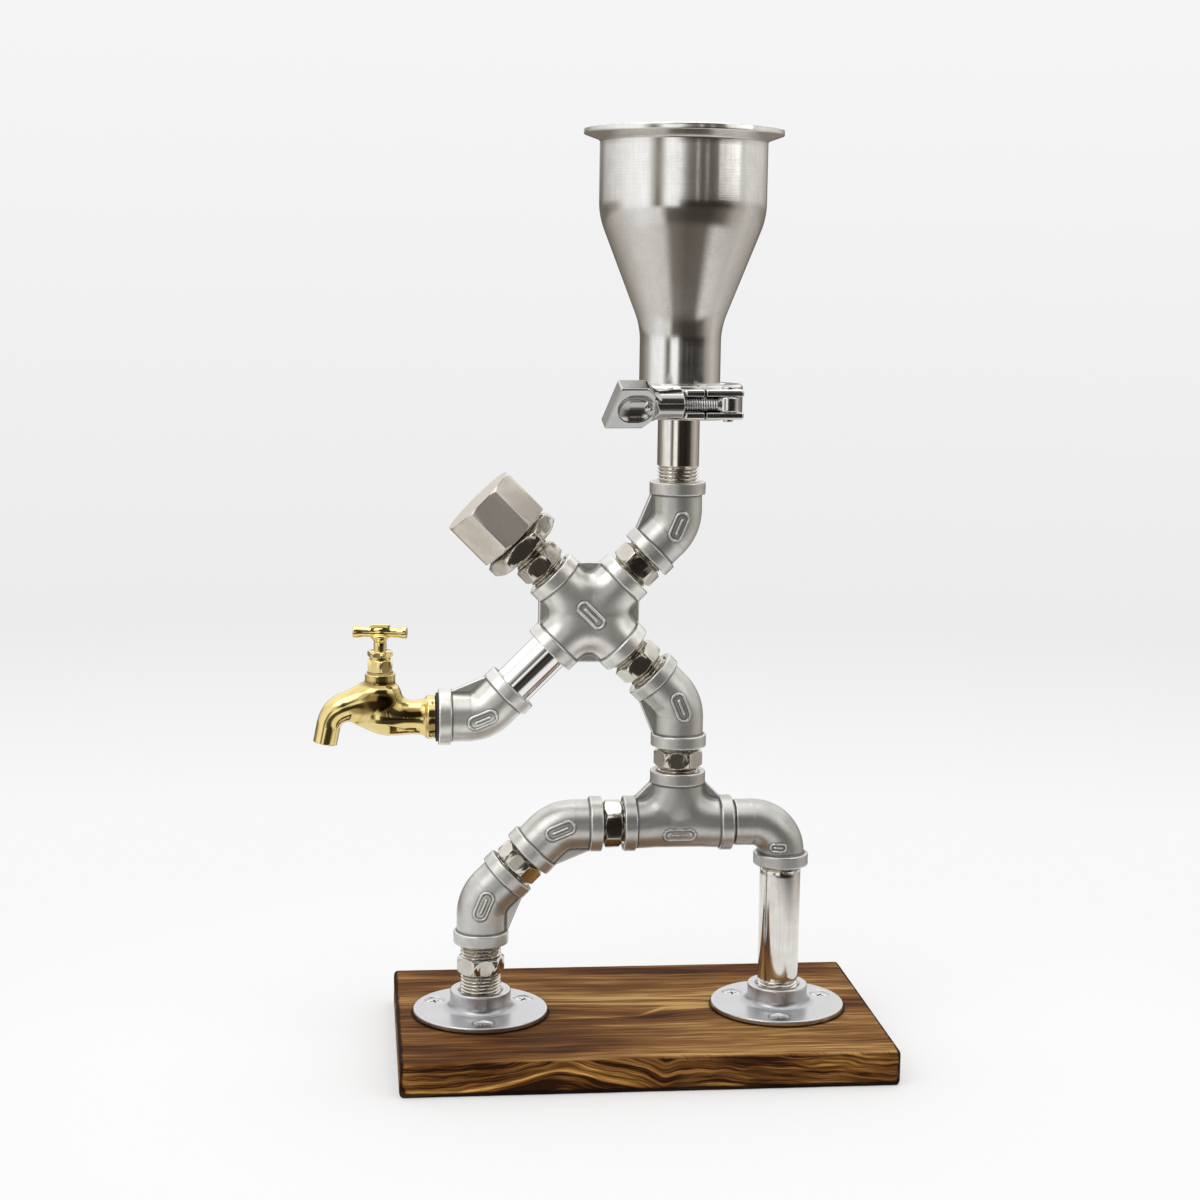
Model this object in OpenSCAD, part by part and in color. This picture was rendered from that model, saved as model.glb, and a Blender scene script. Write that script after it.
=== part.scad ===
// Gravity drink dispenser: a walking figure of pipe fittings on a wooden board.
// Drink poured into the funnel runs down the raised arm into the cross, and leaves
// by the tap on the lower arm. Millimetres, +Z up, origin in the middle of the
// board's underside, +X to the viewer's right, +Y away from the viewer.

/* [Board] */
// Length of the board
board_w = 250; // [240:1:320]
// Depth of the board
board_d = 150; // [110:1:200]
// Thickness of the board
board_t = 18; // [16:1:30]
// Rounding of the board's upright corners
board_corner_r = 3; // [1:0.5:8]
// Rounding of the board's top and bottom edges
board_edge_r = 2; // [1:0.5:4]

/* [Figure] */
// Distance of the left foot's axis from the middle of the board
left_foot_x = 81.3; // [76:0.1:86]
// Bare run between the left flange and the shin elbow
ankle_gap = 25; // [20:0.1:32]
// Bare run between the shin elbow and the thigh elbow
knee_gap = 11.2; // [10:0.1:16]
// Bare run between the thigh elbow and the tee
hip_gap = 11.2; // [10:0.1:16]
// Bare run of thread between the tee and the street elbow
street_gap = 1.5; // [1:0.1:3]
// Bare run between the tee and the waist elbow
waist_gap = 12.8; // [10:0.1:18]
// Bare run between the waist elbow and the cross
chest_gap = 16.5; // [11:0.1:20]
// Bare run between the cross and the upper elbow
shoulder_gap = 12.5; // [10:0.1:18]
// Bare run between the cross and the head's bushing
neck_gap = 16.1; // [13:0.1:20]
// Bare run of the arm pipe between the cross and the wrist elbow
arm_gap = 25.8; // [20:0.1:40]
// Height of the clamped joint above the upper elbow's mouth
collar_gap = 41.2; // [34:0.1:60]

/* [Fittings] */
// Centre to mouth of an eighth-bend elbow
elbow_reach = 22.4; // [21:0.1:25]
// Bend radius of an eighth-bend elbow's centre line
elbow_bend_r = 18; // [16:0.5:24]
// Centre to mouth of the tee and of the cross
tee_reach = 28.4; // [27:0.1:32]
// Centre to mouth of the street elbow's socket
street_reach = 22.6; // [22:0.1:28]
// Centre to shoulder of the street elbow's spigot side
street_neck = 25.5; // [24:0.1:30]
// Bend radius of the street elbow's centre line
street_bend_r = 16; // [15:0.1:18]
// Outside diameter of the street elbow's body
street_d = 24; // [23.6:0.1:25]
// Diameter of the band around a mouth
band_d = 28.6; // [27:0.1:31]
// Width of the band around a mouth
band_w = 6.5; // [5:0.1:8]
// Diameter of a cast body between its bands
body_d = 25.2; // [24.4:0.1:26.4]
// Thickness of the flat web in an inner corner
web_t = 5; // [3:0.1:8]
// Depth of a threaded socket
socket_depth = 13; // [12:0.1:14]

/* [Threads and pipes] */
// Outside diameter of the half-inch pipe
pipe_d = 21.3; // [21.1:0.1:21.6]
// Diameter over a half-inch male thread
thread_d = 20.9; // [20.4:0.1:21]
// Radial clearance between a male thread and its socket
thread_fit = 0.1; // [0.05:0.01:0.2]
// Length of thread screwed into a socket
thread_grip = 12; // [9:0.1:12.4]
// Waterway through pipes and cast fittings
bore_d = 15.8; // [12:0.1:16.4]
// Waterway through the hexagon nipples
nipple_bore = 15; // [12:0.1:15.6]
// Width across the flats of a nipple's hexagon
nipple_af = 22; // [21.6:0.1:25]
// Length of a nipple's hexagon
nipple_hex = 9; // [7:0.1:9.5]
// Length of the stopper in the chest nipple
stopper_l = 20; // [10:0.5:28]
// Bare thread left showing at the ends of the leg pipe
leg_thread_show = 3; // [1:0.1:8]
// Bare thread left showing at the foot of the upper pipe
upper_thread_show = 8; // [4:0.1:12]

/* [Head] */
// Width across the flats of the bushing's hexagon
bushing_af = 36.4; // [35:0.1:40]
// Length of the bushing's hexagon
bushing_hex = 8.6; // [6:0.1:12]
// Diameter over the bushing's one-inch male thread
bushing_thread_d = 33.2; // [31:0.1:33.4]
// Bare thread between the bushing and the cap
bushing_gap = 1.5; // [0.5:0.1:3]
// Width across the flats of the cap's octagon
cap_af = 40; // [38.6:0.1:46]
// Length of the cap
cap_l = 26; // [22:0.1:34]
// Thickness of the cap's closed end
cap_end_t = 6; // [4:0.1:8]

/* [Feet] */
// Diameter of a foot flange
flange_d = 70; // [68:0.5:80]
// Thickness of a foot flange's plate
flange_t = 3; // [2.6:0.1:5]
// Diameter of a foot flange's hub
hub_d = 31.5; // [28:0.1:34]
// Height of a foot flange with its hub
hub_h = 13; // [12:0.1:18]
// Rounding between hub and plate
hub_fillet = 3.5; // [1:0.1:4.5]
// Length of thread screwed into a hub
hub_grip = 10.5; // [8:0.1:11]
// Diameter of the circle of screw holes
screw_circle_d = 54; // [52:0.1:58]
// Number of screws in a flange
screw_count = 3; // [3:1:4]
// Diameter of a screw's head
screw_head_d = 9.2; // [8:0.1:9.6]
// Diameter of a screw's shank
screw_d = 4; // [3:0.1:4.5]
// Length of a screw inside the board
screw_l = 13; // [8:0.1:14]
// Clearance around a screw
screw_fit = 0.15; // [0.1:0.05:0.3]
// Turn of the right flange about its axis
right_flange_turn = -8; // [-30:1:30]

/* [Funnel] */
// Height of the funnel's rim above the clamped joint
funnel_h = 134.4; // [128:0.1:160]
// Height of the straight bowl, rim included
bowl_h = 43; // [35:0.1:52]
// Height of the cone
cone_h = 54.7; // [46:0.1:60]
// Outside diameter of the bowl
bowl_d = 84; // [78:0.1:90]
// Outside diameter of the neck
neck_d = 41; // [39:0.1:42]
// Wall of the funnel
funnel_wall = 2; // [1.4:0.1:2.6]
// Diameter of the rim
rim_d = 100; // [96:0.1:106]
// Edge thickness of the rim
rim_edge = 2.9; // [2:0.1:4]
// Rounding where the cone meets the bowl and the neck
cone_r = 38; // [6:0.5:45]

/* [Clamp] */
// Diameter of the ferrules inside the clamp
ferrule_d = 50.5; // [50:0.1:51.5]
// Diameter of a ferrule's back
ferrule_back_d = 43.6; // [43:0.1:44.4]
// Edge thickness of a ferrule
ferrule_edge = 2.8; // [2.2:0.1:3.4]
// Slope of a ferrule's back, degrees
ferrule_slope = 20; // [15:1:24]
// Thickness of the gasket between the ferrules
gasket_t = 2; // [1.4:0.1:2.6]
// Radius of the gasket's bead
bead_r = 1.4; // [1.1:0.05:1.5]
// Clearance between clamp and ferrules
clamp_fit = 0.15; // [0.1:0.01:0.3]
// Outside diameter of the clamp ring
ring_d = 64; // [62:0.5:68]
// Height of the clamp ring
ring_h = 17; // [16:0.1:20]
// Gap between the two halves of the ring
ring_split = 1; // [0.6:0.1:2]
// Turn of the clamp's opening from the front, towards the right
clamp_turn = 8.6; // [-30:0.1:30]
// Distance of the swing bolt from the funnel's axis
bolt_reach = 40; // [39:0.1:44]
// Diameter of the swing bolt
bolt_d = 7; // [6:0.1:7.4]
// Distance of the swing bolt's pin from the split
bolt_pin_x = 13; // [11:0.1:15]
// Diameter of the clamp's pins
pin_d = 5; // [4:0.1:5.4]
// Radial running clearance of the clamp's pins and of the wing nut
pin_fit = 0.05; // [0.02:0.01:0.1]
// Width of the slotted ear
ear_w = 10; // [8:0.1:11]
// Height of the ears
ear_h = 15; // [14.4:0.1:16]
// Height of the slot for the bolt and its eye
slot_h = 7.8; // [7.6:0.1:8.4]
// Diameter of the bolt's eye
eye_d = 11; // [10:0.1:12]
// Height of the bolt's eye
eye_h = 7.2; // [6:0.1:7.4]
// Diameter of the wing nut's barrel
barrel_d = 14.5; // [12:0.1:15]
// Length of the wing nut's barrel
barrel_l = 13.4; // [10:0.1:16]
// Length of the wing nut's grip
wing_l = 24.6; // [22:0.1:30]
// Width of the wing nut's grip
wing_w = 23; // [20:0.1:26]
// Thickness of the wing nut's grip
wing_t = 8.6; // [8:0.1:13]
// Gap between wing nut and slotted ear
nut_gap = 0.7; // [0.6:0.05:0.9]
// Turn of the wing nut about its bolt
wing_turn = 30; // [-45:1:45]

/* [Tap] */
// Thickness of the washer behind the tap
tail_washer_t = 1.2; // [0.8:0.1:2]
// Diameter of the washer behind the tap
tail_washer_d = 25; // [24:0.1:28]
// Diameter of the tap's collar
tap_collar_d = 22; // [21:0.1:24]
// Length of the tap's collar
tap_collar_l = 4.6; // [3:0.1:6]
// Diameter of the tap's waist behind the collar
tap_waist_d = 17.2; // [15:0.1:18]
// Diameter of the tap's belly
tap_belly_d = 18.6; // [16.6:0.1:19]
// Distance of the spindle's axis from the wrist elbow's mouth
spindle_u = 29.5; // [28:0.1:34]
// Diameter of the boss that takes the bonnet
boss_d = 15.4; // [15:0.1:17]
// Height of the boss above the tap's axis
boss_h = 22.8; // [21:0.1:24]
// Diameter of the inlet inside the tap
inlet_d = 9; // [7:0.1:9.4]
// Diameter of the hole in the valve seat
seat_d = 6; // [4:0.1:6.4]
// Height of the seat's lip above the tap's axis
seat_h = 7.4; // [7:0.1:8]
// Diameter of the valve chamber
chamber_d = 11.4; // [10.8:0.1:11.8]
// Slope of the spout where it leaves the body, degrees
spout_slope = 20; // [16:1:24]
// Length of the spout's tapered root
spout_root_l = 19; // [17:0.1:24]
// Outside diameter of the spout's root
spout_root_d = 19; // [18:0.1:20]
// Bend radius of the spout
spout_bend_r = 13; // [11:0.1:16]
// Angle through which the spout bends
spout_turn = 59; // [50:1:66]
// Outside diameter of the spout's bend
spout_bend_d = 14.6; // [13:0.1:15.4]
// Straight end of the spout
spout_end = 9.3; // [6:0.1:16]
// Outside diameter of the spout's mouth
spout_d = 12.2; // [11.4:0.1:13]
// Diameter of the spout's waterway
spout_bore = 8; // [6:0.1:8.4]
// Thickness of the washer under the bonnet
bonnet_washer_t = 0.8; // [0.5:0.1:1.2]
// Width across the flats of the bonnet
bonnet_af = 12.3; // [12:0.1:13]
// Height of the bonnet's hexagon
bonnet_hex = 6.4; // [6:0.1:8]
// Diameter of the spindle
spindle_d = 6.5; // [6:0.1:7]
// Radial running clearance of the spindle
spindle_fit = 0.06; // [0.03:0.01:0.1]
// Width across the flats of the gland nut
gland_af = 11.6; // [11:0.1:12.4]
// Height of the gland nut's hexagon
gland_hex = 3; // [2.4:0.1:4]
// Height of the handle's bar above the tap's axis
handle_h = 43.9; // [43:0.1:52]
// Length of the handle's bar
handle_l = 27.4; // [24:0.1:40]
// Diameter of the bar's ends
handle_end_d = 6.2; // [5.2:0.1:7]
// Diameter of the bar's middle
handle_mid_d = 5; // [4.4:0.1:5.2]
// Turn of the handle when the tap is shut
handle_turn = -8; // [-90:1:90]
// Rise of the valve when the tap is open
valve_lift = 4; // [2:0.1:4]
// Radial running clearance of the jumper's stem in the spindle
jumper_fit = 0.1; // [0.05:0.01:0.1]

/* [Hidden] */
$fn = 72;
// Overshoot that keeps cuts from ending flush with a face
over = 1;

// Directions and joints of the figure, as [x, z] in its upright plane
function heading(a) = [cos(a), sin(a)];
hub_top = board_t + hub_h;
shin = [-left_foot_x, hub_top + ankle_gap + elbow_reach];
thigh = shin + (2 * elbow_reach + knee_gap) * heading(45);
hip = thigh + (elbow_reach + hip_gap + tee_reach) * heading(0);
street = hip + (tee_reach + street_gap + street_neck) * heading(0);
waist = hip + (tee_reach + waist_gap + elbow_reach) * heading(90);
chest = waist + (elbow_reach + chest_gap + tee_reach) * heading(135);
upper = chest + (tee_reach + shoulder_gap + elbow_reach) * heading(45);
wrist = chest + (tee_reach + arm_gap + elbow_reach) * heading(225);
collar = upper + (elbow_reach + collar_gap) * heading(90);

// Sizes that follow from the driving ones
socket_d = thread_d + 2 * thread_fit;
socket_chamfer = 0.8;
band_round = 0.8;
corner_r = tee_reach - band_w;
elbow_neck = elbow_bend_r * tan(22.5);
blend_step = 0.12;
thread_chamfer = 0.9;
hex_chamfer = 0.97;
cap_bevel = 1.2;
stopper_bevel = 1.5;
neck_hex_at = 3;
ankle_hex_shift = 1;
bushing_socket_d = bushing_thread_d + 2 * thread_fit;
edge_round = 0.6;
screw_head_h = (screw_head_d - screw_d) / 2;
screw_recess = [0.9, 4.6, 1.4];
screw_point_d = 0.4;
screw_hole_d = screw_d + 2 * screw_fit;

// Turn of each hexagon about its pipe, so that its faces catch the light as shown
ankle_turn = 28;
knee_turn = 12;
hip_turn = 26;
waist_turn = 20;
chest_turn = 2;
shoulder_turn = 28;
neck_turn = 22;
cap_turn = 5;

// Clamped joint, measured from the middle of its gasket
funnel_z0 = gasket_t / 2;
ferrule_rise = (ferrule_d - ferrule_back_d) / 2 * tan(ferrule_slope);
bead_shift = 1;
bead_d = (ferrule_back_d + neck_d) / 2 + bead_shift;
bead_fit = 0.15;
ferrule_fillet = 2;
lip_d = ferrule_back_d + 2 * clamp_fit;
groove_d = ferrule_d + 4 * clamp_fit;
groove_half = gasket_t / 2 + ferrule_edge + clamp_fit;
lip_half = groove_half + (groove_d - lip_d) / 2 * tan(ferrule_slope);
ring_round = 2;
ring_core_wall = 3;
hinge_stand = 1.5;
hinge_y = ring_d / 2 + pin_d / 2 + hinge_stand;
knuckle_wall = 3;
knuckle_d = pin_d + 2 * knuckle_wall;
knuckle_bite = 6;
knuckle_gap = 0.2;
knuckle_h = (ring_h - 2 * knuckle_gap) / 3;
ear_past_bolt = 4.6;
ear_tip = bolt_reach + ear_past_bolt;
ear_bite = 5;
ear_root = ring_d / 2 - ear_bite;
nut_ear_round = 2;
pin_ear_round = 5;
eye_wall = 1.5;
eye_room = 0.5;
pin_head_step = 0.8;
pin_head_d = pin_d + 2 * pin_head_step;
pin_head_h = 1.2;
nut_face_x = -ear_w - ring_split / 2 - nut_gap;
bolt_past_barrel = 3;
bolt_room = 2;
bolt_end_x = nut_face_x - barrel_l - bolt_past_barrel;
barrel_lap = 1;
wing_flare = 5.5;
wing_taper = 1.6;
wing_drop = 4;
wing_round = 1;
dish_shift = 2.4;
dish_r = 10;
dish_half_l = 2.3;
dish_web = 1.6;

// Tap, in its own frame: u runs out from the wrist elbow's mouth, z up
tap_z = wrist[1];
tap_mouth_x = wrist[0] - elbow_reach;
collar_u = tail_washer_t + tap_collar_l;
tap_blend_r = 14;
waist_l = 5;
waist_lead = 1.6;
belly_back = 8;
belly_front = 2;
belly_nose = 14.5;
belly_nose_l = 5;
belly_nose_step = 4;
boss_collar_l = 4.9;
boss_neck_l = 0.8;
boss_taper_l = 2.2;
boss_step = 0.5;
lip_h = 1;
lip_w = 1.1;
chamber_floor = seat_h - lip_h;
lip_od = seat_d + 2 * lip_w;
spout_root_z = 12.1;
spout_tip_l = 4;
spout_tip_r = 12;
spout_lap = 0.06;
belly_tip_u = spindle_u + belly_nose;
bonnet_thread_d = chamber_d - 2 * thread_fit;
bonnet_z0 = boss_h + bonnet_washer_t;
bonnet_top = bonnet_z0 + bonnet_hex;
packing_w = 1.3;
packing_d = spindle_d + 2 * packing_w;
packing_h = 2.2;
gland_nose = 1.3;
gland_neck = 1.4;
gland_step = 0.6;
gland_turn = 15;
gland_z0 = bonnet_top + gland_neck;
washer_over = 0.6;
washer_d = lip_od + 2 * washer_over;
washer_t = 2;
jumper_plate_t = 2;
jumper_stem_d = 3.6;
jumper_stem_l = 6;
jumper_top = seat_h + washer_t + jumper_plate_t;
jumper_gap = 0.3;
lift_room = 1.8;
bonnet_low = jumper_top + valve_lift + lift_room;
spindle_low = jumper_top + jumper_gap;
spigot_d = 4;
spigot_gap = 0.1;
hub_drop = 5;
hub_low = handle_h - hub_drop;
knob_l = 2;
grip_half = 5;
cup_flare = 1.6;
cup_h = 2.6;
dome_step = 0.4;
dome_h = 2.4;
cup_top = 2.8;

// Outline of corners given as [x, y, rounding], with each rounding as an arc
arc_steps = 5;
function unit(v) = v / norm(v);
function flat2(p) = [p[0], p[1]];
function swing(d) = d > 180 ? d - 360 : d < -180 ? d + 360 : d;
function bearing(v) = atan2(v[1], v[0]);
function round_corner(a, b, c, r) =
    let (u = unit(a - b), v = unit(c - b), half = acos(u * v) / 2)
    let (m = b + unit(u + v) * r / sin(half), t = r / tan(half))
    let (a0 = bearing(b + u * t - m), sweep = swing(bearing(b + v * t - m) - a0))
    [for (i = [0:arc_steps]) m + r * heading(a0 + sweep * i / arc_steps)];
function soft(pts) =
    let (n = len(pts))
    [for (i = [0:n - 1])
        let (a = flat2(pts[(i + n - 1) % n]), b = flat2(pts[i]), c = flat2(pts[(i + 1) % n]))
        each (pts[i][2] > 0 ? round_corner(a, b, c, pts[i][2]) : [b])];

// Body of revolution about Z from an outline of [radius, height, rounding]
module turned(pts) {
    rotate_extrude()
        polygon(soft(pts));
}

// Lays a shape built along +Z down along +X
module along_x() {
    rotate([0, 90, 0])
        children();
}

// Places a shape at a joint of the figure, with its +X turned to the given heading
module at(joint, turn = 0) {
    translate([joint[0], 0, joint[1]])
        rotate([0, -turn, 0])
            children();
}

// Round bar along +X from a to b
module bar_x(d, a, b) {
    translate([a, 0, 0])
        along_x()
            cylinder(d = d, h = b - a);
}

// Part of a ring that carries the +X mouth over to the mouth at 180 - turn
module bend(d, turn, radius) {
    translate([radius * tan(turn / 2), 0, radius])
        rotate([90, 0, 0])
            rotate([0, 0, -90 - turn])
                rotate_extrude(angle = turn)
                    translate([radius, 0])
                        circle(d = d);
}

// Band around a mouth whose face lies at +X = reach
module band(reach) {
    translate([reach - band_w, 0, 0])
        along_x()
            turned([[0, 0, 0], [band_d / 2, 0, band_round],
                [band_d / 2, band_w, band_round], [0, band_w, 0]]);
}

// Threaded socket cut into a mouth whose face lies at +X = reach
module socket(reach) {
    lead = socket_chamfer + over;
    bar_x(socket_d, reach - socket_depth, reach + over);
    translate([reach - socket_chamfer, 0, 0])
        along_x()
            cylinder(d1 = socket_d, d2 = socket_d + 2 * lead, h = lead);
}

// Flat web in the corner between the +X mouth and the mouth at the given angle
module web(reach, angle) {
    tip_u = reach - band_w + 1;
    tip_v = band_d / 2 - band_round;
    far = heading(angle);
    side = heading(angle - 90);
    tip_a = [tip_u, tip_v];
    tip_b = tip_u * far + tip_v * side;
    rotate([90, 0, 0])
        linear_extrude(web_t, center = true)
            polygon([[0, 0], [tip_u, 0], tip_a, tip_b, tip_u * far]);
}

// Hexagon along +X with both ends chamfered from just inside its flats
module hexagon(af, length, turn) {
    corner = af / cos(30) / 2;
    start = af / 2 * hex_chamfer;
    outer = corner + over / 2;
    lead = (outer - start) * tan(30);
    along_x()
        rotate(turn)
            intersection() {
                cylinder(r = corner, h = length, $fn = 6);
                turned([[0, 0, 0], [start, 0, 0], [outer, lead, 0], [outer, length - lead, 0],
                    [start, length, 0], [0, length, 0]]);
            }
}

// Male thread along +X from a to b, chamfered at both ends
module thread(d, a, b) {
    translate([a, 0, 0])
        along_x()
            turned([[0, 0, 0], [d / 2 - thread_chamfer, 0, 0], [d / 2, thread_chamfer, 0],
                [d / 2, b - a - thread_chamfer, 0], [d / 2 - thread_chamfer, b - a, 0], [0, b - a, 0]]);
}

// Eighth-bend elbow between the +X mouth and the mouth at 135 degrees
module elbow() {
    color("silver")
        difference() {
            union() {
                bend(body_d, 45, elbow_bend_r);
                web(elbow_reach, 135);
                for (a = [0, 135])
                    rotate([0, -a, 0]) {
                        bar_x(body_d + 2 * blend_step, elbow_neck, elbow_reach - band_w / 2);
                        band(elbow_reach);
                    }
            }
            bend(bore_d, 45, elbow_bend_r);
            for (a = [0, 135])
                rotate([0, -a, 0]) {
                    bar_x(bore_d - 2 * blend_step, elbow_neck - over, elbow_reach);
                    socket(elbow_reach);
                }
        }
}

// Tee or cross with a mouth at each listed angle and a rounded web in each square corner
module junction(mouths, corners) {
    color("silver")
        difference() {
            union() {
                for (a = mouths)
                    rotate([0, -a, 0]) {
                        bar_x(body_d, 0, tee_reach - band_w / 2);
                        band(tee_reach);
                    }
                for (a = corners)
                    rotate([0, -a, 0]) {
                        bend(body_d - 2 * blend_step, 90, corner_r);
                        web(tee_reach, 90);
                    }
            }
            for (a = mouths)
                rotate([0, -a, 0]) {
                    bar_x(bore_d, 0, tee_reach);
                    socket(tee_reach);
                }
            sphere(d = bore_d);
        }
}

// Hexagon nipple along +X that bridges a gap, with its hexagon starting at hex_at
module nipple(gap, hex_at, turn, grip_a = thread_grip, grip_b = thread_grip) {
    color("gainsboro")
        difference() {
            union() {
                thread(thread_d, -grip_a, gap + grip_b);
                translate([hex_at, 0, 0])
                    hexagon(nipple_af, nipple_hex, turn);
            }
            bar_x(nipple_bore, -grip_a - over, gap + grip_b + over);
        }
}

// Pipe along +X that bridges a gap, with bare thread showing at each end
module pipe(gap, grip_a, grip_b, show_a, show_b) {
    difference() {
        union() {
            thread(thread_d, -grip_a, gap + grip_b);
            bar_x(pipe_d, show_a, gap - show_b);
        }
        bar_x(bore_d, -grip_a - over, gap + grip_b + over);
    }
}

// Places something at each screw of both flanges, at the flange's top face
module at_screws() {
    for (foot = [[-left_foot_x, 0], [street[0], right_flange_turn]])
        translate([foot[0], 0, board_t + flange_t])
            rotate(foot[1])
                for (i = [0:screw_count - 1])
                    rotate(360 * i / screw_count - 90)
                        translate([screw_circle_d / 2, 0, 0])
                            children();
}

module base_board() {
    w = board_w / 2;
    d = board_d / 2;
    r = board_edge_r;
    c = board_corner_r;
    color("saddlebrown")
        difference() {
            intersection() {
                linear_extrude(board_t)
                    polygon(soft([[-w, -d, c], [w, -d, c], [w, d, c], [-w, d, c]]));
                rotate([90, 0, 90])
                    linear_extrude(board_w + over, center = true)
                        polygon(soft([[-d, 0, r], [d, 0, r], [d, board_t, r], [-d, board_t, r]]));
                rotate([90, 0, 0])
                    linear_extrude(board_d + over, center = true)
                        polygon(soft([[-w, 0, r], [w, 0, r], [w, board_t, r], [-w, board_t, r]]));
            }
            at_screws()
                translate([0, 0, -flange_t - screw_l - screw_fit])
                    cylinder(d = screw_hole_d, h = screw_l + flange_t);
        }
}

module flange_screws() {
    color("whitesmoke")
        at_screws()
            difference() {
                union() {
                    translate([0, 0, -screw_head_h])
                        cylinder(d1 = screw_d, d2 = screw_head_d, h = screw_head_h);
                    translate([0, 0, -flange_t - screw_l + screw_d])
                        cylinder(d = screw_d, h = flange_t + screw_l - screw_d - screw_head_h);
                    translate([0, 0, -flange_t - screw_l])
                        cylinder(d1 = screw_point_d, d2 = screw_d, h = screw_d);
                }
                for (a = [0, 90])
                    rotate(a)
                        translate([0, 0, -screw_recess[2] / 2 + over / 2])
                            cube(screw_recess + [0, 0, over], center = true);
            }
}

// Foot flange with a fillet round its hub, a threaded bore and countersunk holes
module flange() {
    r = socket_d / 2;
    c = 2 * socket_chamfer;
    sink = screw_head_h + screw_fit;
    lead = sink + over;
    color("lightgray")
        difference() {
            turned([[r, 0, 0], [flange_d / 2, 0, edge_round], [flange_d / 2, flange_t, edge_round],
                [hub_d / 2, flange_t, hub_fillet], [hub_d / 2, hub_h, edge_round],
                [r + c, hub_h, 0], [r, hub_h - c, 0]]);
            for (i = [0:screw_count - 1])
                rotate(360 * i / screw_count - 90)
                    translate([screw_circle_d / 2, 0, 0]) {
                        translate([0, 0, -over])
                            cylinder(d = screw_hole_d, h = flange_t + 2 * over);
                        translate([0, 0, flange_t - sink])
                            cylinder(d1 = screw_hole_d, d2 = screw_hole_d + 2 * lead, h = lead);
                    }
        }
}

module left_flange() {
    translate([-left_foot_x, 0, board_t])
        flange();
}

module right_flange() {
    translate([street[0], 0, board_t])
        rotate(right_flange_turn)
            flange();
}

module ankle_nipple() {
    at([shin[0], hub_top], 90)
        nipple(ankle_gap, (ankle_gap - nipple_hex) / 2 + ankle_hex_shift, ankle_turn, hub_grip);
}

module shin_elbow() {
    at(shin, -90)
        elbow();
}

module knee_nipple() {
    at(shin + elbow_reach * heading(45), 45)
        nipple(knee_gap, (knee_gap - nipple_hex) / 2, knee_turn);
}

module thigh_elbow() {
    at(thigh, 225)
        elbow();
}

module hip_nipple() {
    at(thigh + elbow_reach * heading(0))
        nipple(hip_gap, (hip_gap - nipple_hex) / 2, hip_turn);
}

module hip_tee() {
    at(hip)
        junction([0, 90, 180], [0, 90]);
}

// Street elbow: a spigot that screws into the tee and a socket that looks down
module street_elbow() {
    tip = street_neck + street_gap + thread_grip;
    straight_d = street_d + 2 * blend_step;
    color("silver")
        at(street, 180)
            difference() {
                union() {
                    bend(street_d, 90, street_bend_r);
                    bar_x(straight_d, street_bend_r, street_neck);
                    thread(thread_d, street_bend_r, tip);
                    rotate([0, -90, 0]) {
                        bar_x(straight_d, street_bend_r, street_reach - band_w / 2);
                        band(street_reach);
                    }
                }
                bend(bore_d, 90, street_bend_r);
                bar_x(bore_d - 2 * blend_step, street_bend_r - over, tip + over);
                rotate([0, -90, 0])
                    socket(street_reach);
            }
}

module leg_pipe() {
    gap = street[1] - street_reach - hub_top;
    color("lightgray")
        at([street[0], hub_top], 90)
            pipe(gap, hub_grip, thread_grip, leg_thread_show, leg_thread_show);
}

module waist_nipple() {
    at(hip + tee_reach * heading(90), 90)
        nipple(waist_gap, (waist_gap - nipple_hex) / 2, waist_turn);
}

module waist_elbow() {
    at(waist, 135)
        elbow();
}

module chest_nipple() {
    at(waist + elbow_reach * heading(135), 135)
        nipple(chest_gap, (chest_gap - nipple_hex) / 2, chest_turn);
}

// Rubber plug in the chest nipple that keeps the drink out of the legs
module leg_stopper() {
    top = chest_gap + thread_grip;
    low = top - stopper_l;
    r = nipple_bore / 2 - thread_fit;
    bevel = stopper_bevel;
    color("dimgray")
        at(waist + elbow_reach * heading(135), 135)
            along_x()
                turned([[0, low, 0], [r - bevel, low, 0], [r, low + bevel, 0], [r, top - bevel, 0],
                    [r - bevel, top, 0], [0, top, 0]]);
}

module body_cross() {
    at(chest, 45)
        junction([0, 90, 180, 270], [0, 90, 180, 270]);
}

module neck_nipple() {
    at(chest + tee_reach * heading(135), 135)
        nipple(neck_gap, neck_hex_at, neck_turn);
}

// Hexagon bushing that brings the nipple's half-inch thread up to the cap's one inch
module head_bushing() {
    shoulder = bushing_hex + bushing_gap;
    color("rosybrown")
        at(chest + (tee_reach + neck_gap) * heading(135), 135)
            difference() {
                union() {
                    hexagon(bushing_af, bushing_hex, 0);
                    thread(bushing_thread_d, bushing_hex - thread_chamfer, shoulder + thread_grip);
                }
                bar_x(socket_d, -over, socket_depth);
                bar_x(bore_d, 0, shoulder + thread_grip + over);
            }
}

// Octagonal cap that closes the figure's head
module head_cap() {
    corner = cap_af / cos(22.5) / 2;
    start = corner - cap_bevel;
    outer = corner + over;
    lead = cap_bevel + over;
    color("rosybrown")
        at(chest + (tee_reach + neck_gap + bushing_hex + bushing_gap) * heading(135), 135)
            along_x()
                difference() {
                    rotate(cap_turn)
                        intersection() {
                            cylinder(r = corner, h = cap_l, $fn = 8);
                            turned([[0, 0, 0], [start, 0, 0], [outer, lead, 0], [outer, cap_l - lead, 0],
                                [start, cap_l, 0], [0, cap_l, 0]]);
                        }
                    translate([0, 0, -over])
                        cylinder(d = bushing_socket_d, h = cap_l - cap_end_t + over);
                }
}

module shoulder_nipple() {
    at(chest + tee_reach * heading(45), 45)
        nipple(shoulder_gap, (shoulder_gap - nipple_hex) / 2, shoulder_turn);
}

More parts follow.
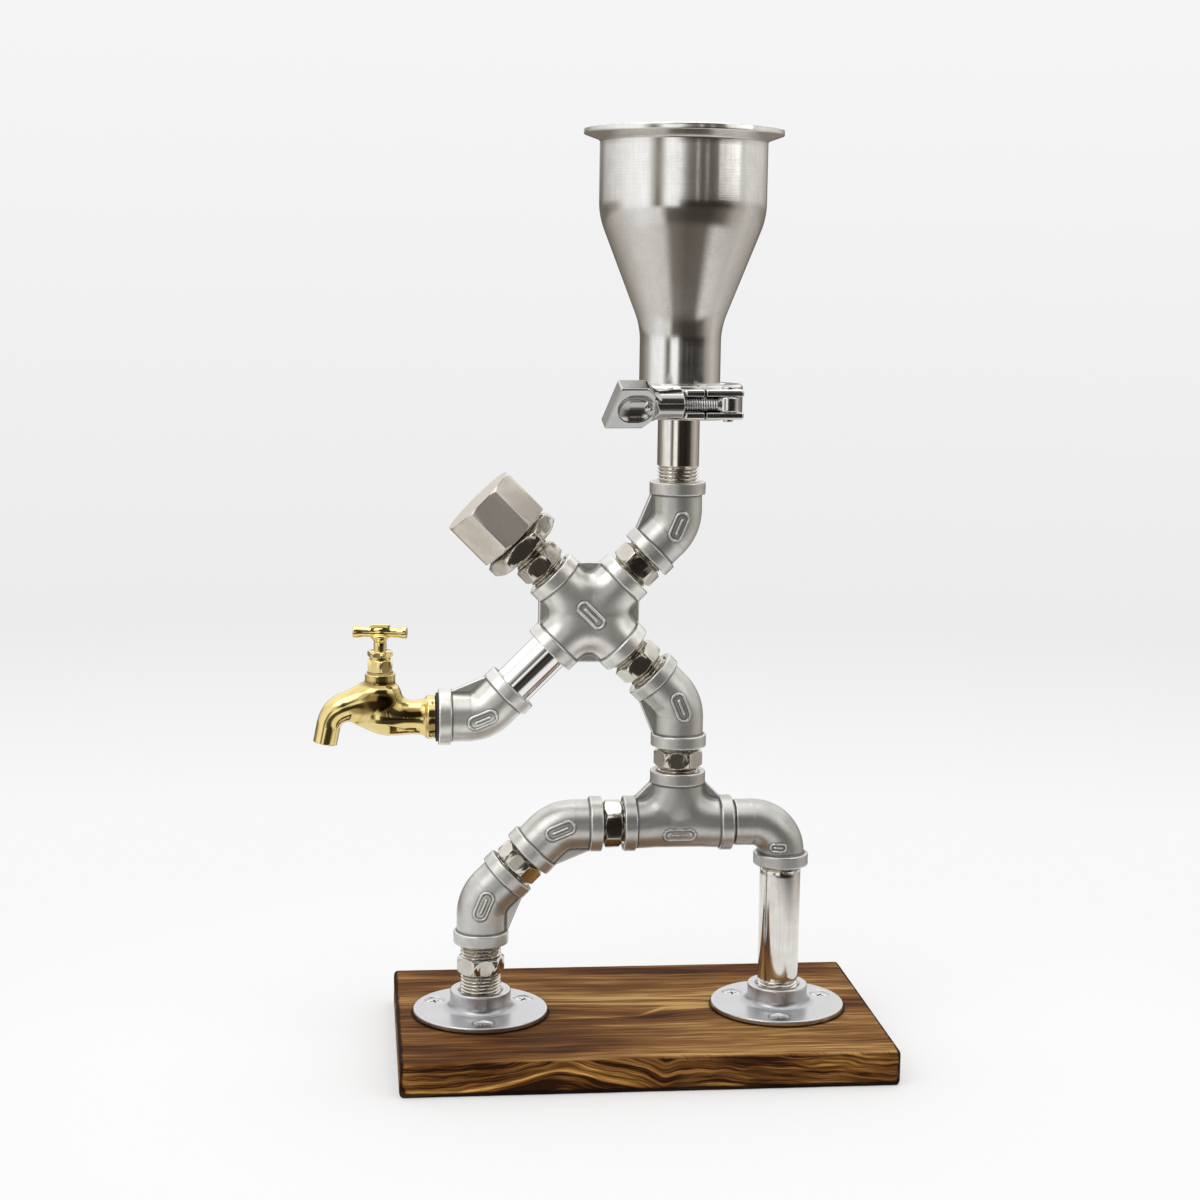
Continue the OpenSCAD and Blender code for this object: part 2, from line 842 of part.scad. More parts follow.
module upper_elbow() {
    at(upper, 90)
        elbow();
}

// Ring groove in a ferrule's face for one half of the gasket's bead
module bead_groove() {
    rotate_extrude()
        translate([bead_d / 2, 0])
            circle(r = bead_r + bead_fit);
}

// Pipe that rises from the upper elbow and ends in the clamp's lower ferrule
module ferrule_pipe() {
    foot = -collar_gap - thread_grip;
    back = -funnel_z0 - ferrule_edge;
    bare = upper_thread_show - collar_gap;
    male = thread_d / 2;
    r = pipe_d / 2;
    color("lightgray")
        at(collar)
            difference() {
                turned([[0, foot, 0], [male - thread_chamfer, foot, 0], [male, foot + thread_chamfer, 0],
                    [male, bare, 0], [r, bare, 0], [r, back - ferrule_rise, ferrule_fillet],
                    [ferrule_back_d / 2, back - ferrule_rise, 0], [ferrule_d / 2, back, 0],
                    [ferrule_d / 2, -funnel_z0, 0], [0, -funnel_z0, 0]]);
                translate([0, 0, foot - over])
                    cylinder(d = bore_d, h = 2 * over - foot);
                translate([0, 0, -funnel_z0])
                    bead_groove();
            }
}

module clamp_gasket() {
    color("dimgray")
        at(collar)
            difference() {
                union() {
                    translate([0, 0, -gasket_t / 2])
                        cylinder(d = ferrule_d, h = gasket_t);
                    for (side = [-1, 1])
                        translate([0, 0, side * gasket_t / 2])
                            rotate_extrude()
                                translate([bead_d / 2, 0])
                                    circle(r = bead_r);
                }
                translate([0, 0, -gasket_t])
                    cylinder(d = neck_d - 2 * funnel_wall, h = 2 * gasket_t);
            }
}

// Funnel: lower ferrule, neck, cone, straight bowl and a wide rim
module funnel() {
    top = funnel_h;
    cone_hi = top - bowl_h;
    cone_lo = cone_hi - cone_h;
    neck = neck_d / 2;
    bowl = bowl_d / 2;
    in = -funnel_wall;
    rim_rise = (rim_d - bowl_d) / 2 * tan(ferrule_slope);
    back = funnel_z0 + ferrule_edge;
    color("lightgray")
        at(collar)
            difference() {
                turned([[neck + in, funnel_z0, 0], [ferrule_d / 2, funnel_z0, 0], [ferrule_d / 2, back, 0],
                    [ferrule_back_d / 2, back + ferrule_rise, 0], [neck, back + ferrule_rise, 0],
                    [neck, cone_lo, cone_r], [bowl, cone_hi, cone_r],
                    [bowl, top - rim_edge - rim_rise, 1], [rim_d / 2, top - rim_edge, 0.3],
                    [rim_d / 2, top, 0.5], [bowl + in, top, 0.5],
                    [bowl + in, cone_hi, cone_r], [neck + in, cone_lo, cone_r]]);
                translate([0, 0, funnel_z0])
                    bead_groove();
            }
}

// Places a shape in the clamp's frame: ring round Z, opening towards -Y
module at_clamp() {
    at(collar)
        rotate(clamp_turn)
            children();
}

// Half of the clamp ring on the side of +X or -X, with the ferrules' groove inside
module half_ring(side) {
    r = ring_d / 2;
    h = ring_h / 2;
    intersection() {
        turned([[lip_d / 2, -h, edge_round], [r, -h, ring_round], [r, h, ring_round],
            [lip_d / 2, h, edge_round], [lip_d / 2, lip_half, 0], [groove_d / 2, groove_half, 0],
            [groove_d / 2, -groove_half, 0], [lip_d / 2, -lip_half, 0]]);
        translate([side > 0 ? ring_split / 2 : -ring_d - ring_split / 2, -ring_d, -ring_h])
            cube([ring_d, 2 * ring_d, 2 * ring_h]);
    }
}

// Knuckle of the clamp's hinge between two heights, tied to its half of the ring
module knuckle(side, low, high) {
    reach = hinge_y - ring_d / 2 + knuckle_bite;
    translate([0, hinge_y, low])
        cylinder(d = knuckle_d, h = high - low);
    translate([side > 0 ? ring_split / 2 : -knuckle_d / 2, hinge_y - reach, low])
        cube([knuckle_d / 2 - ring_split / 2, reach, high - low]);
}

// Room in one half of the ring for a knuckle of the other half, centred at a height
module knuckle_room(middle) {
    h = knuckle_h + knuckle_gap;
    translate([0, hinge_y, middle - h / 2])
        cylinder(d = knuckle_d + 2 * knuckle_gap, h = h);
}

// Outline of an ear seen along the clamp's axis, from the ring out to its tip
module ear(x0, x1, corner) {
    translate([0, 0, -ear_h / 2])
        linear_extrude(ear_h)
            polygon(soft([[x0, -ear_tip, corner], [x1, -ear_tip, corner],
                [x1, -ear_root, 0], [x0, -ear_root, 0]]));
}

// Slot between an ear's prongs, open towards the front
module ear_slot(inner) {
    translate([-ring_d / 2, -ear_tip - over, -slot_h / 2])
        cube([ring_d, ear_tip + over - inner, slot_h]);
}

// Room inside the ring that its ears and knuckles may not enter
module ring_core() {
    cylinder(d = ring_d - 2 * ring_core_wall, h = 2 * ring_h, center = true);
}

module clamp_half_left() {
    color("silver")
        at_clamp()
            difference() {
                union() {
                    difference() {
                        half_ring(-1);
                        for (side = [-1, 1])
                            knuckle_room(side * (knuckle_h + knuckle_gap));
                    }
                    difference() {
                        union() {
                            ear(-ear_w - ring_split / 2, -ring_split / 2, nut_ear_round);
                            knuckle(-1, -knuckle_h / 2, knuckle_h / 2);
                        }
                        ring_core();
                    }
                }
                ear_slot(bolt_reach - slot_h / 2);
                translate([0, hinge_y, -ring_h])
                    cylinder(d = pin_d + 2 * pin_fit, h = 2 * ring_h);
            }
}

module clamp_half_right() {
    color("silver")
        at_clamp()
            difference() {
                union() {
                    difference() {
                        half_ring(1);
                        knuckle_room(0);
                    }
                    difference() {
                        union() {
                            ear(ring_split / 2, bolt_pin_x + eye_d / 2 + eye_wall, pin_ear_round);
                            for (side = [-1, 1])
                                translate([0, 0, side * (knuckle_h + knuckle_gap)])
                                    knuckle(1, -knuckle_h / 2, knuckle_h / 2);
                        }
                        ring_core();
                    }
                }
                ear_slot(bolt_reach - eye_d / 2 - eye_room);
                for (p = [[0, hinge_y], [bolt_pin_x, -bolt_reach]])
                    translate([p[0], p[1], -ring_h])
                        cylinder(d = pin_d + 2 * pin_fit, h = 2 * ring_h);
            }
}

// Headed pin through a hinge of the given height
module headed_pin(height) {
    color("gainsboro")
        translate([0, 0, -height / 2]) {
            translate([0, 0, -pin_head_h])
                cylinder(d = pin_d, h = height + pin_head_h);
            translate([0, 0, height])
                cylinder(d = pin_head_d, h = pin_head_h);
        }
}

module clamp_hinge_pin() {
    at_clamp()
        translate([0, hinge_y, 0])
            headed_pin(ring_h);
}

module clamp_bolt_pin() {
    at_clamp()
        translate([bolt_pin_x, -bolt_reach, 0])
            headed_pin(ear_h);
}

// Bolt with an eye that swings on the right ear's pin
module clamp_swing_bolt() {
    color("gainsboro")
        at_clamp()
            translate([0, -bolt_reach, 0])
                difference() {
                    union() {
                        translate([bolt_pin_x, 0, -eye_h / 2])
                            cylinder(d = eye_d, h = eye_h);
                        thread(bolt_d, bolt_end_x, bolt_pin_x);
                    }
                    translate([bolt_pin_x, 0, -ring_h])
                        cylinder(d = pin_d + 2 * pin_fit, h = 2 * ring_h);
                }
}

// Wing nut: a barrel that ends in a six-sided grip with a thumb dish on each side
module clamp_wing_nut() {
    w = wing_w / 2;
    neck = barrel_d / 2 - barrel_lap;
    root = nut_face_x - barrel_l;
    tip = root - wing_l;
    dish_y = dish_r + dish_web / 2;
    color("silver")
        at_clamp()
            translate([0, -bolt_reach, 0])
                rotate([wing_turn, 0, 0])
                    difference() {
                        union() {
                            translate([root - barrel_lap, 0, 0])
                                along_x()
                                    turned([[0, 0, 0], [barrel_d / 2, 0, 0],
                                        [barrel_d / 2, barrel_l + barrel_lap, edge_round],
                                        [0, barrel_l + barrel_lap, 0]]);
                            rotate([90, 0, 0])
                                linear_extrude(wing_t, center = true)
                                    polygon(soft([[root, -neck, 0], [root, neck, 0],
                                        [root - wing_flare, w, wing_round],
                                        [tip + wing_taper, w, wing_round],
                                        [tip, w - wing_drop, wing_round], [tip, wing_drop - w, wing_round],
                                        [tip + wing_taper, -w, wing_round],
                                        [root - wing_flare, -w, wing_round]]));
                        }
                        bar_x(bolt_d + 2 * pin_fit, bolt_end_x - bolt_room, nut_face_x + over);
                        for (side = [-1, 1])
                            translate([(root + tip) / 2 + dish_shift, side * dish_y, 0]) {
                                bar_x(2 * dish_r, -dish_half_l, dish_half_l);
                                for (end = [-1, 1])
                                    translate([end * dish_half_l, 0, 0])
                                        sphere(r = dish_r);
                            }
                    }
}

module arm_pipe() {
    color("whitesmoke")
        at(chest + tee_reach * heading(225), 225)
            pipe(arm_gap, thread_grip, thread_grip, 0, 0);
}

module wrist_elbow() {
    at(wrist, 45)
        elbow();
}

// Places a shape in the tap's frame
module at_tap() {
    translate([tap_mouth_x, 0, tap_z])
        rotate(180)
            children();
}

// Places a shape on the axis of the tap's spindle
module at_spindle() {
    at_tap()
        translate([spindle_u, 0, 0])
            children();
}

// Runs along the spout's centre line: children 0, 1 and 2 are its root, bend and end
bend_start = [spindle_u, spout_root_z] + spout_root_l * heading(-spout_slope);
bend_centre = bend_start + spout_bend_r * heading(-90 - spout_slope);
spout_end_a = -spout_slope - spout_turn;
bend_end = bend_centre + spout_bend_r * heading(90 + spout_end_a);
module along_spout() {
    at([spindle_u, spout_root_z], -spout_slope)
        children(0);
    at(bend_centre, 90 + spout_end_a)
        rotate([90, 0, 0])
            rotate_extrude(angle = spout_turn)
                translate([spout_bend_r, 0])
                    children(1);
    at(bend_end, spout_end_a)
        children(2);
}

// Outside of the spout: root and end lap a little over the bend between them
module spout() {
    lap = 1;
    r = spout_bend_d / 2;
    along_spout() {
        along_x()
            turned([[0, 0, 0], [spout_root_d / 2, 0, 0], [r + spout_lap, spout_root_l, 0],
                [r - spout_lap, spout_root_l + lap, 0], [0, spout_root_l + lap, 0]]);
        circle(r = r);
        along_x()
            turned([[0, -lap, 0], [r - spout_lap, -lap, 0], [r + spout_lap, 0, 0],
                [spout_d / 2, spout_end - spout_tip_l, spout_tip_r],
                [spout_d / 2, spout_end, edge_round], [0, spout_end, 0]]);
    }
}

// Waterway of the spout from the chamber's wall to the mouth
module spout_waterway() {
    straight_d = spout_bore + 2 * spout_lap;
    lap = 0.6;
    along_spout() {
        bar_x(straight_d, chamber_d / 2 - lap, spout_root_l + lap);
        circle(d = spout_bore);
        bar_x(straight_d, -lap, spout_end + over);
    }
}

// Cast tap body: tail, belly, boss and spout round the inlet, seat and chamber
module tap_body() {
    tail = tap_waist_d / 2;
    belly = tap_belly_d / 2;
    boss = boss_d / 2;
    collar_z = boss_h - boss_collar_l;
    neck_z = collar_z - boss_step - boss_neck_l;
    color("gold")
        at_tap()
            difference() {
                union() {
                    thread(thread_d, -thread_grip, collar_u);
                    along_x()
                        turned([[0, tail_washer_t, 0], [tap_collar_d / 2, tail_washer_t, edge_round],
                            [tap_collar_d / 2, collar_u, 2 * edge_round],
                            [tail, collar_u + waist_lead, 2 * edge_round], [tail, collar_u + waist_l, 3],
                            [belly, spindle_u - belly_back, 6], [belly, spindle_u - belly_front, 8],
                            [belly - belly_nose_step, belly_tip_u - belly_nose_l, 6],
                            [0, belly_tip_u, 0]]);
                    translate([spindle_u, 0, 0])
                        turned([[0, 0, 0], [belly - blend_step, 0, 0],
                            [belly - blend_step, neck_z - boss_taper_l, 2], [boss - boss_step, neck_z, 1],
                            [boss - boss_step, collar_z - boss_step, 0], [boss, collar_z, 0],
                            [boss, boss_h, edge_round], [0, boss_h, 0]]);
                    translate([spindle_u, 0, 0])
                        mirror([1, 0, 0])
                            bend(tap_waist_d - over, 90, tap_blend_r);
                    spout();
                }
                bar_x(inlet_d, -thread_grip - over, spindle_u);
                translate([spindle_u, 0, 0]) {
                    sphere(d = inlet_d);
                    cylinder(d = seat_d, h = boss_h);
                    translate([0, 0, seat_h])
                        cylinder(d = chamber_d, h = boss_h);
                    difference() {
                        translate([0, 0, chamber_floor])
                            cylinder(d = chamber_d, h = boss_h);
                        cylinder(d = lip_od, h = seat_h);
                    }
                }
                spout_waterway();
            }
}

module tail_washer() {
    color("dimgray")
        at_tap()
            difference() {
                bar_x(tail_washer_d, 0, tail_washer_t);
                bar_x(socket_d, -over, tail_washer_t + over);
            }
}

// Flat ring about the spindle's axis
module spindle_ring(od, id, low, high) {
    at_spindle()
        translate([0, 0, low])
            difference() {
                cylinder(d = od, h = high - low);
                translate([0, 0, -over])
                    cylinder(d = id, h = high - low + 2 * over);
            }
}

module bonnet_washer() {
    color("tan")
        spindle_ring(bonnet_af + 2 * washer_over, chamber_d, boss_h, bonnet_z0);
}

// Hexagon along +Z on the spindle's axis
module upright_hexagon(af, low, high, turn) {
    translate([0, 0, low])
        rotate([0, -90, 0])
            hexagon(af, high - low, turn);
}

// Bonnet that screws into the boss, guides the spindle and holds the packing
module tap_bonnet() {
    color("goldenrod")
        at_spindle()
            difference() {
                union() {
                    upright_hexagon(bonnet_af, bonnet_z0, bonnet_top, 0);
                    translate([0, 0, bonnet_low])
                        cylinder(d = bonnet_thread_d, h = bonnet_z0 - bonnet_low + over);
                }
                cylinder(d = spindle_d + 2 * spindle_fit, h = handle_h);
                translate([0, 0, bonnet_top - packing_h - gland_nose])
                    cylinder(d = packing_d + 2 * thread_fit, h = handle_h);
            }
}

module gland_packing() {
    low = bonnet_top - packing_h - gland_nose;
    color("dimgray")
        spindle_ring(packing_d, spindle_d + 2 * spindle_fit, low, low + packing_h);
}

// Gland nut that presses the packing against the spindle
module gland_nut() {
    color("gold")
        at_spindle()
            difference() {
                union() {
                    translate([0, 0, bonnet_top - gland_nose])
                        cylinder(d = packing_d, h = gland_nose + over);
                    translate([0, 0, bonnet_top])
                        cylinder(d = gland_af - 2 * gland_step, h = gland_neck + over);
                    upright_hexagon(gland_af, gland_z0, gland_z0 + gland_hex, gland_turn);
                }
                cylinder(d = spindle_d + 2 * spindle_fit, h = handle_h);
            }
}

// Spindle with a socket for the jumper below and a spigot for the handle above
module tap_spindle() {
    color("goldenrod")
        at_spindle()
            difference() {
                union() {
                    translate([0, 0, spindle_low])
                        cylinder(d = spindle_d, h = hub_low - spindle_low);
                    translate([0, 0, hub_low])
                        cylinder(d = spigot_d, h = hub_drop - over);
                }
                translate([0, 0, spindle_low - over])
                    cylinder(d = jumper_stem_d + 2 * jumper_fit, h = jumper_stem_l + 2 * over);
            }
}

// Handle: a bar with flared ends on a cupped hub with a small dome
module tap_handle() {
    half = handle_l / 2;
    mid = handle_mid_d / 2;
    end = handle_end_d / 2;
    cup = spindle_d / 2 + cup_flare;
    color("gold")
        at_spindle()
            rotate(handle_turn)
                difference() {
                    union() {
                        translate([-half, 0, handle_h])
                            along_x()
                                turned([[0, 0, 0], [end, 0, edge_round], [end, knob_l, 1],
                                    [mid, half - grip_half, 8], [mid, half + grip_half, 8],
                                    [end, handle_l - knob_l, 1], [end, handle_l, edge_round],
                                    [0, handle_l, 0]]);
                        turned([[0, hub_low, 0], [spindle_d / 2, hub_low, 0], [cup, hub_low + cup_h, 1],
                            [cup - dome_step, handle_h + cup_top, 1.5],
                            [0, handle_h + cup_top + dome_h, 0]]);
                    }
                    translate([0, 0, hub_low - over])
                        cylinder(d = spigot_d + 2 * thread_fit, h = hub_drop + spigot_gap);
                }
}

// Loose jumper that the spindle presses down and the drink lifts
module jumper_valve() {
    low = seat_h + washer_t;
    color("goldenrod")
        at_spindle() {
            translate([0, 0, low])
                cylinder(d = washer_d, h = jumper_plate_t);
            translate([0, 0, low + over])
                cylinder(d = jumper_stem_d, h = jumper_plate_t + jumper_stem_l - over);
        }
}

module jumper_washer() {
    color("black")
        at_spindle()
            translate([0, 0, seat_h])
                cylinder(d = washer_d, h = washer_t);
}

base_board();
flange_screws();
left_flange();
right_flange();
ankle_nipple();
shin_elbow();
knee_nipple();
thigh_elbow();
hip_nipple();
hip_tee();
street_elbow();
leg_pipe();
waist_nipple();
waist_elbow();
chest_nipple();
leg_stopper();
body_cross();
neck_nipple();
head_bushing();
head_cap();
shoulder_nipple();
upper_elbow();
ferrule_pipe();
clamp_gasket();
funnel();
clamp_half_left();
clamp_half_right();
clamp_hinge_pin();
clamp_swing_bolt();
clamp_bolt_pin();
clamp_wing_nut();
arm_pipe();
wrist_elbow();
tail_washer();
tap_body();
bonnet_washer();
tap_bonnet();
gland_packing();
gland_nut();
tap_spindle();
tap_handle();
jumper_valve();
jumper_washer();
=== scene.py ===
"""Looks of the gravity drink dispenser: castings, turned pieces, board, light and camera.

Sizes are in millimetres and in the part's own frame (+Z up, +X to the viewer's right,
+Y away from the viewer). Turned and threaded pieces are grids of radius over angle and
height. Castings, which blend several bodies, are the zero level of a distance field.
"""

import logging
import math
from dataclasses import dataclass, field, replace
from enum import Enum
from functools import partialmethod
from typing import Callable, Sequence

import bpy
import numpy as np
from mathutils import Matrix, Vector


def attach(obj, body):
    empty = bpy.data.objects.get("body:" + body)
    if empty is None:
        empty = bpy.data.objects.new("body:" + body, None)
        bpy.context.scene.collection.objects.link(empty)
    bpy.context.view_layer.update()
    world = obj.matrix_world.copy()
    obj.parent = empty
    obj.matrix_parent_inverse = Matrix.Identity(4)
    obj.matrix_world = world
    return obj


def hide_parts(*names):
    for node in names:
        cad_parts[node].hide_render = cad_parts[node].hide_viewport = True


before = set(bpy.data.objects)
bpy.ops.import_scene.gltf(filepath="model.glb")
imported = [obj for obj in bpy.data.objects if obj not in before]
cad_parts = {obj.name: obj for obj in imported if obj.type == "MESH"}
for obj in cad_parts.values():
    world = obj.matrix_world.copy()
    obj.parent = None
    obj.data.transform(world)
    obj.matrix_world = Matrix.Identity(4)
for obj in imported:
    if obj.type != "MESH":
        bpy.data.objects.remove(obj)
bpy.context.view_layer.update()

LOG = logging.getLogger("dispenser")
MM = 0.001
WELD = 1e-4
Array = np.ndarray
Field = Callable[[Array], Array]
Socket = bpy.types.NodeSocket
Colour = Point = tuple[float, float, float]
Place = tuple[float, float]


class Body(Enum):
    """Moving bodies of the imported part."""

    STAND = "stand"
    HANDLE = "handle"
    SWING_BOLT = "swing_bolt"
    WING_NUT = "wing_nut"


class Slot(Enum):
    """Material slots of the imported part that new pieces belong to."""

    WOOD = "toasted_wood"
    SCREW = "screw_steel"
    FLANGE = "flange_steel"
    CAST = "cast_steel"
    NIPPLE = "nipple_steel"
    NICKEL = "nickel"
    PIPE = "polished_pipe"
    FUNNEL = "funnel_steel"
    CLAMP = "clamp_steel"
    BRASS = "tap_brass"


# Surfaces and meshes


@dataclass
class Surface:
    """Points in mm, four-cornered faces (a repeated corner makes a triangle) and point data.

    local holds each point in its piece's own frame, with the piece's axis along Z.
    """

    points: Array
    faces: Array
    local: Array
    normals: Array | None = None

    def moved(self, matrix: Array, shift: Sequence[float]) -> "Surface":
        """Returns this surface turned by a 3 x 3 matrix and shifted; local data stays."""
        normals = None if self.normals is None else self.normals @ matrix.T
        return Surface(self.points @ matrix.T + np.asarray(shift), self.faces, self.local, normals)


def aim(degrees: float) -> Place:
    """Cosine and sine of an angle."""
    return math.cos(math.radians(degrees)), math.sin(math.radians(degrees))


def turn_about(axis: int, degrees: float) -> Array:
    """Matrix of a right-handed turn about a coordinate axis.

    Args:
        axis: 0, 1 or 2 for X, Y or Z.
        degrees: the angle.

    Returns:
        The 3 x 3 matrix.
    """
    c, s = aim(degrees)
    a, b = (axis + 1) % 3, (axis + 2) % 3
    matrix = np.eye(3)
    matrix[a, a], matrix[a, b], matrix[b, a], matrix[b, b] = c, -s, s, c
    return matrix


def closed_up(points: Array, faces: Array, local: Array, normals: Array | None = None) -> Surface:
    """Welds equal points, drops faces without area and turns the faces outwards.

    The sign of the enclosed volume, the sum of corner triple products, tells the side.

    Args:
        points: n x 3 points in mm.
        faces: m x 4 corner numbers.
        local: n x 3 points in the piece's own frame.
        normals: n x 3 outward normals, where they are known.

    Returns:
        The closed surface.
    """
    keys = np.round(points / WELD).astype(np.int64)
    _, first, back = np.unique(keys, axis=0, return_index=True, return_inverse=True)
    faces = back.reshape(-1)[faces]
    faces = faces[(faces != np.roll(faces, -1, axis=1)).sum(1) > 2]
    faces = faces[(faces[:, 0] != faces[:, 2]) & (faces[:, 1] != faces[:, 3])]
    points = points[first]
    a, b, c, d = (points[faces[:, i]] for i in range(4))
    volume = (a * np.cross(b, c)).sum() + (a * np.cross(c, d)).sum()
    if volume < 0:
        faces = faces[:, ::-1]
    return Surface(points, faces, local[first], None if normals is None else normals[first])


def grid_faces(rows: int, columns: int, ring: bool) -> Array:
    """Faces of a grid whose last column joins the first, as its last row does in a ring.

    Args:
        rows: number of rows.
        columns: number of columns.
        ring: whether the last row joins the first one.

    Returns:
        m x 4 point numbers.
    """
    r, c = np.arange(rows if ring else rows - 1)[:, None], np.arange(columns)[None]
    r, s, d = r * columns, (r + 1) % rows * columns, (c + 1) % columns
    return np.stack([r + c, r + d, s + d, s + c], -1).reshape(-1, 4)


def full_turn(columns: int) -> Array:
    """Angles of equal columns round an axis."""
    return np.arange(columns) / columns * 2 * math.pi


def bend_of(points: Array, normals: Array, edges: Array) -> Array:
    """Mean bend at each point: how fast the normal turns along the edges that meet there.

    For an edge from p to q with normals m and n it is (n - m).(q - p) / |q - p|^2, in 1/mm,
    positive on outer edges and negative in hollows; the mean is then spread to the neighbours.

    Args:
        points: n x 3 points in mm.
        normals: n x 3 unit normals.
        edges: e x 2 point numbers.

    Returns:
        n values.
    """
    i, j = edges.T
    step = points[j] - points[i]
    rate = ((normals[j] - normals[i]) * step).sum(1) / np.maximum((step * step).sum(1), 1e-4)
    count = np.maximum(np.bincount(i, minlength=len(points)) + np.bincount(j, minlength=len(points)), 1)
    mean = (np.bincount(i, rate, len(points)) + np.bincount(j, rate, len(points))) / count
    near = (np.bincount(i, mean[j], len(points)) + np.bincount(j, mean[i], len(points))) / count
    return 0.5 * mean + 0.5 * near


def make_object(name: str, surface: Surface, crease: float) -> bpy.types.Object:
    """Puts a surface into a mesh object at the origin, with its bend and local data.

    Args:
        name: the piece's name.
        surface: the surface in mm.
        crease: edges sharper than this many degrees stay sharp, unless normals are given.

    Returns:
        The linked object.
    """
    points = np.ascontiguousarray(surface.points * MM, np.float32)
    keep = surface.faces != np.roll(surface.faces, -1, axis=1)
    corners = surface.faces[keep].astype(np.int32)
    starts = np.concatenate([[0], np.cumsum(keep.sum(1))[:-1]]).astype(np.int32)
    mesh = bpy.data.meshes.new(name)
    mesh.vertices.add(len(points))
    mesh.vertices.foreach_set("co", points.ravel())
    mesh.loops.add(len(corners))
    mesh.loops.foreach_set("vertex_index", corners)
    mesh.polygons.add(len(starts))
    mesh.polygons.foreach_set("loop_start", starts)
    mesh.update(calc_edges=True)
    mesh.shade_smooth()
    normals = np.zeros(len(points) * 3, np.float32)
    if surface.normals is None:
        mesh.vertex_normals.foreach_get("vector", normals)
        mesh.set_sharp_from_angle(angle=math.radians(crease))
    else:
        normals = np.ascontiguousarray(surface.normals, np.float32).ravel()
        mesh.normals_split_custom_set_from_vertices(normals.reshape(-1, 3))
    edges = np.zeros(len(mesh.edges) * 2, np.int32)
    mesh.edges.foreach_get("vertices", edges)
    bend = bend_of(surface.points, normals.reshape(-1, 3), edges.reshape(-1, 2))
    layer = mesh.attributes.new("bend", "FLOAT", "POINT")
    layer.data.foreach_set("value", bend.astype(np.float32))
    layer = mesh.attributes.new("local", "FLOAT_VECTOR", "POINT")
    layer.data.foreach_set("vector", np.ascontiguousarray(surface.local, np.float32).ravel())
    made = bpy.data.objects.new(name, mesh)
    bpy.context.scene.collection.objects.link(made)
    return made


# Turned and threaded pieces: radius as a function of angle and height


@dataclass(frozen=True)
class Axis:
    """A line through origin along a direction, with the direction of angle zero."""

    origin: Point
    along: Point = (0.0, 0.0, 1.0)
    zero: Point = (1.0, 0.0, 0.0)

    def surface(self, angle: Array, rows: "Rows", ring: bool = True) -> Surface:
        """Carries rows of radii round the line: origin + height along + radius (cos, sin).

        Args:
            angle: angles of the columns.
            rows: their heights and radii.
            ring: whether the last row joins the first one.

        Returns:
            The closed surface.
        """
        along, zero, radius = np.asarray(self.along), np.asarray(self.zero), rows.radius
        flat = np.stack([radius * np.cos(angle), radius * np.sin(angle),
                         np.broadcast_to(rows.height[:, None], radius.shape)], -1).reshape(-1, 3)
        base = np.stack([zero, np.cross(along, zero), along])
        return closed_up(flat @ base + np.asarray(self.origin), grid_faces(*radius.shape, ring), flat)


def run_axis(joint: Place, heading: float, start: float) -> Axis:
    """Axis of a pipe run that leaves a joint of the figure.

    Args:
        joint: x and z of the joint.
        heading: degrees from +X towards +Z.
        start: distance of the axis's origin from the joint.

    Returns:
        The axis, with angle zero on the underside of the run.
    """
    c, s = aim(heading)
    return Axis((joint[0] + start * c, 0.0, joint[1] + start * s), (c, 0.0, s), (s, 0.0, -c))


def rounded(corners: Sequence[Point], closed: bool = True) -> Array:
    """Outline through corners (radius, height, rounding), each rounding as an arc.

    The arc's middle lies on the corner's bisector at rounding / sin(half the angle).

    Args:
        corners: the corners in order.
        closed: whether the last corner joins the first one; open ends stay sharp.

    Returns:
        n x 2 points of radius and height.
    """
    steps = 8
    points = np.asarray([c[:2] for c in corners], float)
    count = len(points)
    made: list[Array] = []
    for i, (r, h, rounding) in enumerate(corners):
        b = np.array([r, h])
        if rounding <= 0 or (not closed and i in (0, count - 1)):
            made.append(b[None])
            continue
        u, v = points[i - 1] - b, points[(i + 1) % count] - b
        u, v = u / np.linalg.norm(u), v / np.linalg.norm(v)
        half = math.acos(float(np.clip(u @ v, -1, 1))) / 2
        middle = b + (u + v) / np.linalg.norm(u + v) * rounding / math.sin(half)
        first, last = b + u * rounding / math.tan(half) - middle, b + v * rounding / math.tan(half) - middle
        start = math.atan2(first[1], first[0])
        sweep = (math.atan2(last[1], last[0]) - start + math.pi) % (2 * math.pi) - math.pi
        turn = start + sweep * np.linspace(0, 1, steps)
        made.append(middle + rounding * np.stack([np.cos(turn), np.sin(turn)], -1))
    return np.concatenate(made)


def dense(outline: Array, step: float, closed: bool = True) -> Array:
    """Outline with extra points, so that no side is longer than step.

    Args:
        outline: n x 2 points.
        step: the longest side.
        closed: whether the last point joins the first one.

    Returns:
        All points in order.
    """
    after = np.roll(outline, -1, axis=0)
    count = np.maximum(np.ceil(np.linalg.norm(after - outline, axis=1) / step).astype(int), 1)
    if not closed:
        count[-1] = 1
    first = np.repeat(np.arange(len(outline)), count)
    share = (np.arange(count.sum()) - np.repeat(np.cumsum(count) - count, count)) / count[first]
    return outline[first] + (after - outline)[first] * share[:, None]


def turned(axis: Axis, outline: Array, columns: int = 128, ring: bool = True) -> Surface:
    """Body of revolution of an outline of radius and height about an axis.

    Args:
        axis: the axis.
        outline: n x 2 points of radius and height.
        columns: number of angles.
        ring: whether the outline is a loop; otherwise it ends on the axis.

    Returns:
        The closed surface.
    """
    angle = full_turn(columns)
    return axis.surface(angle, Rows.rings(angle, *outline[:, ::-1]), ring)


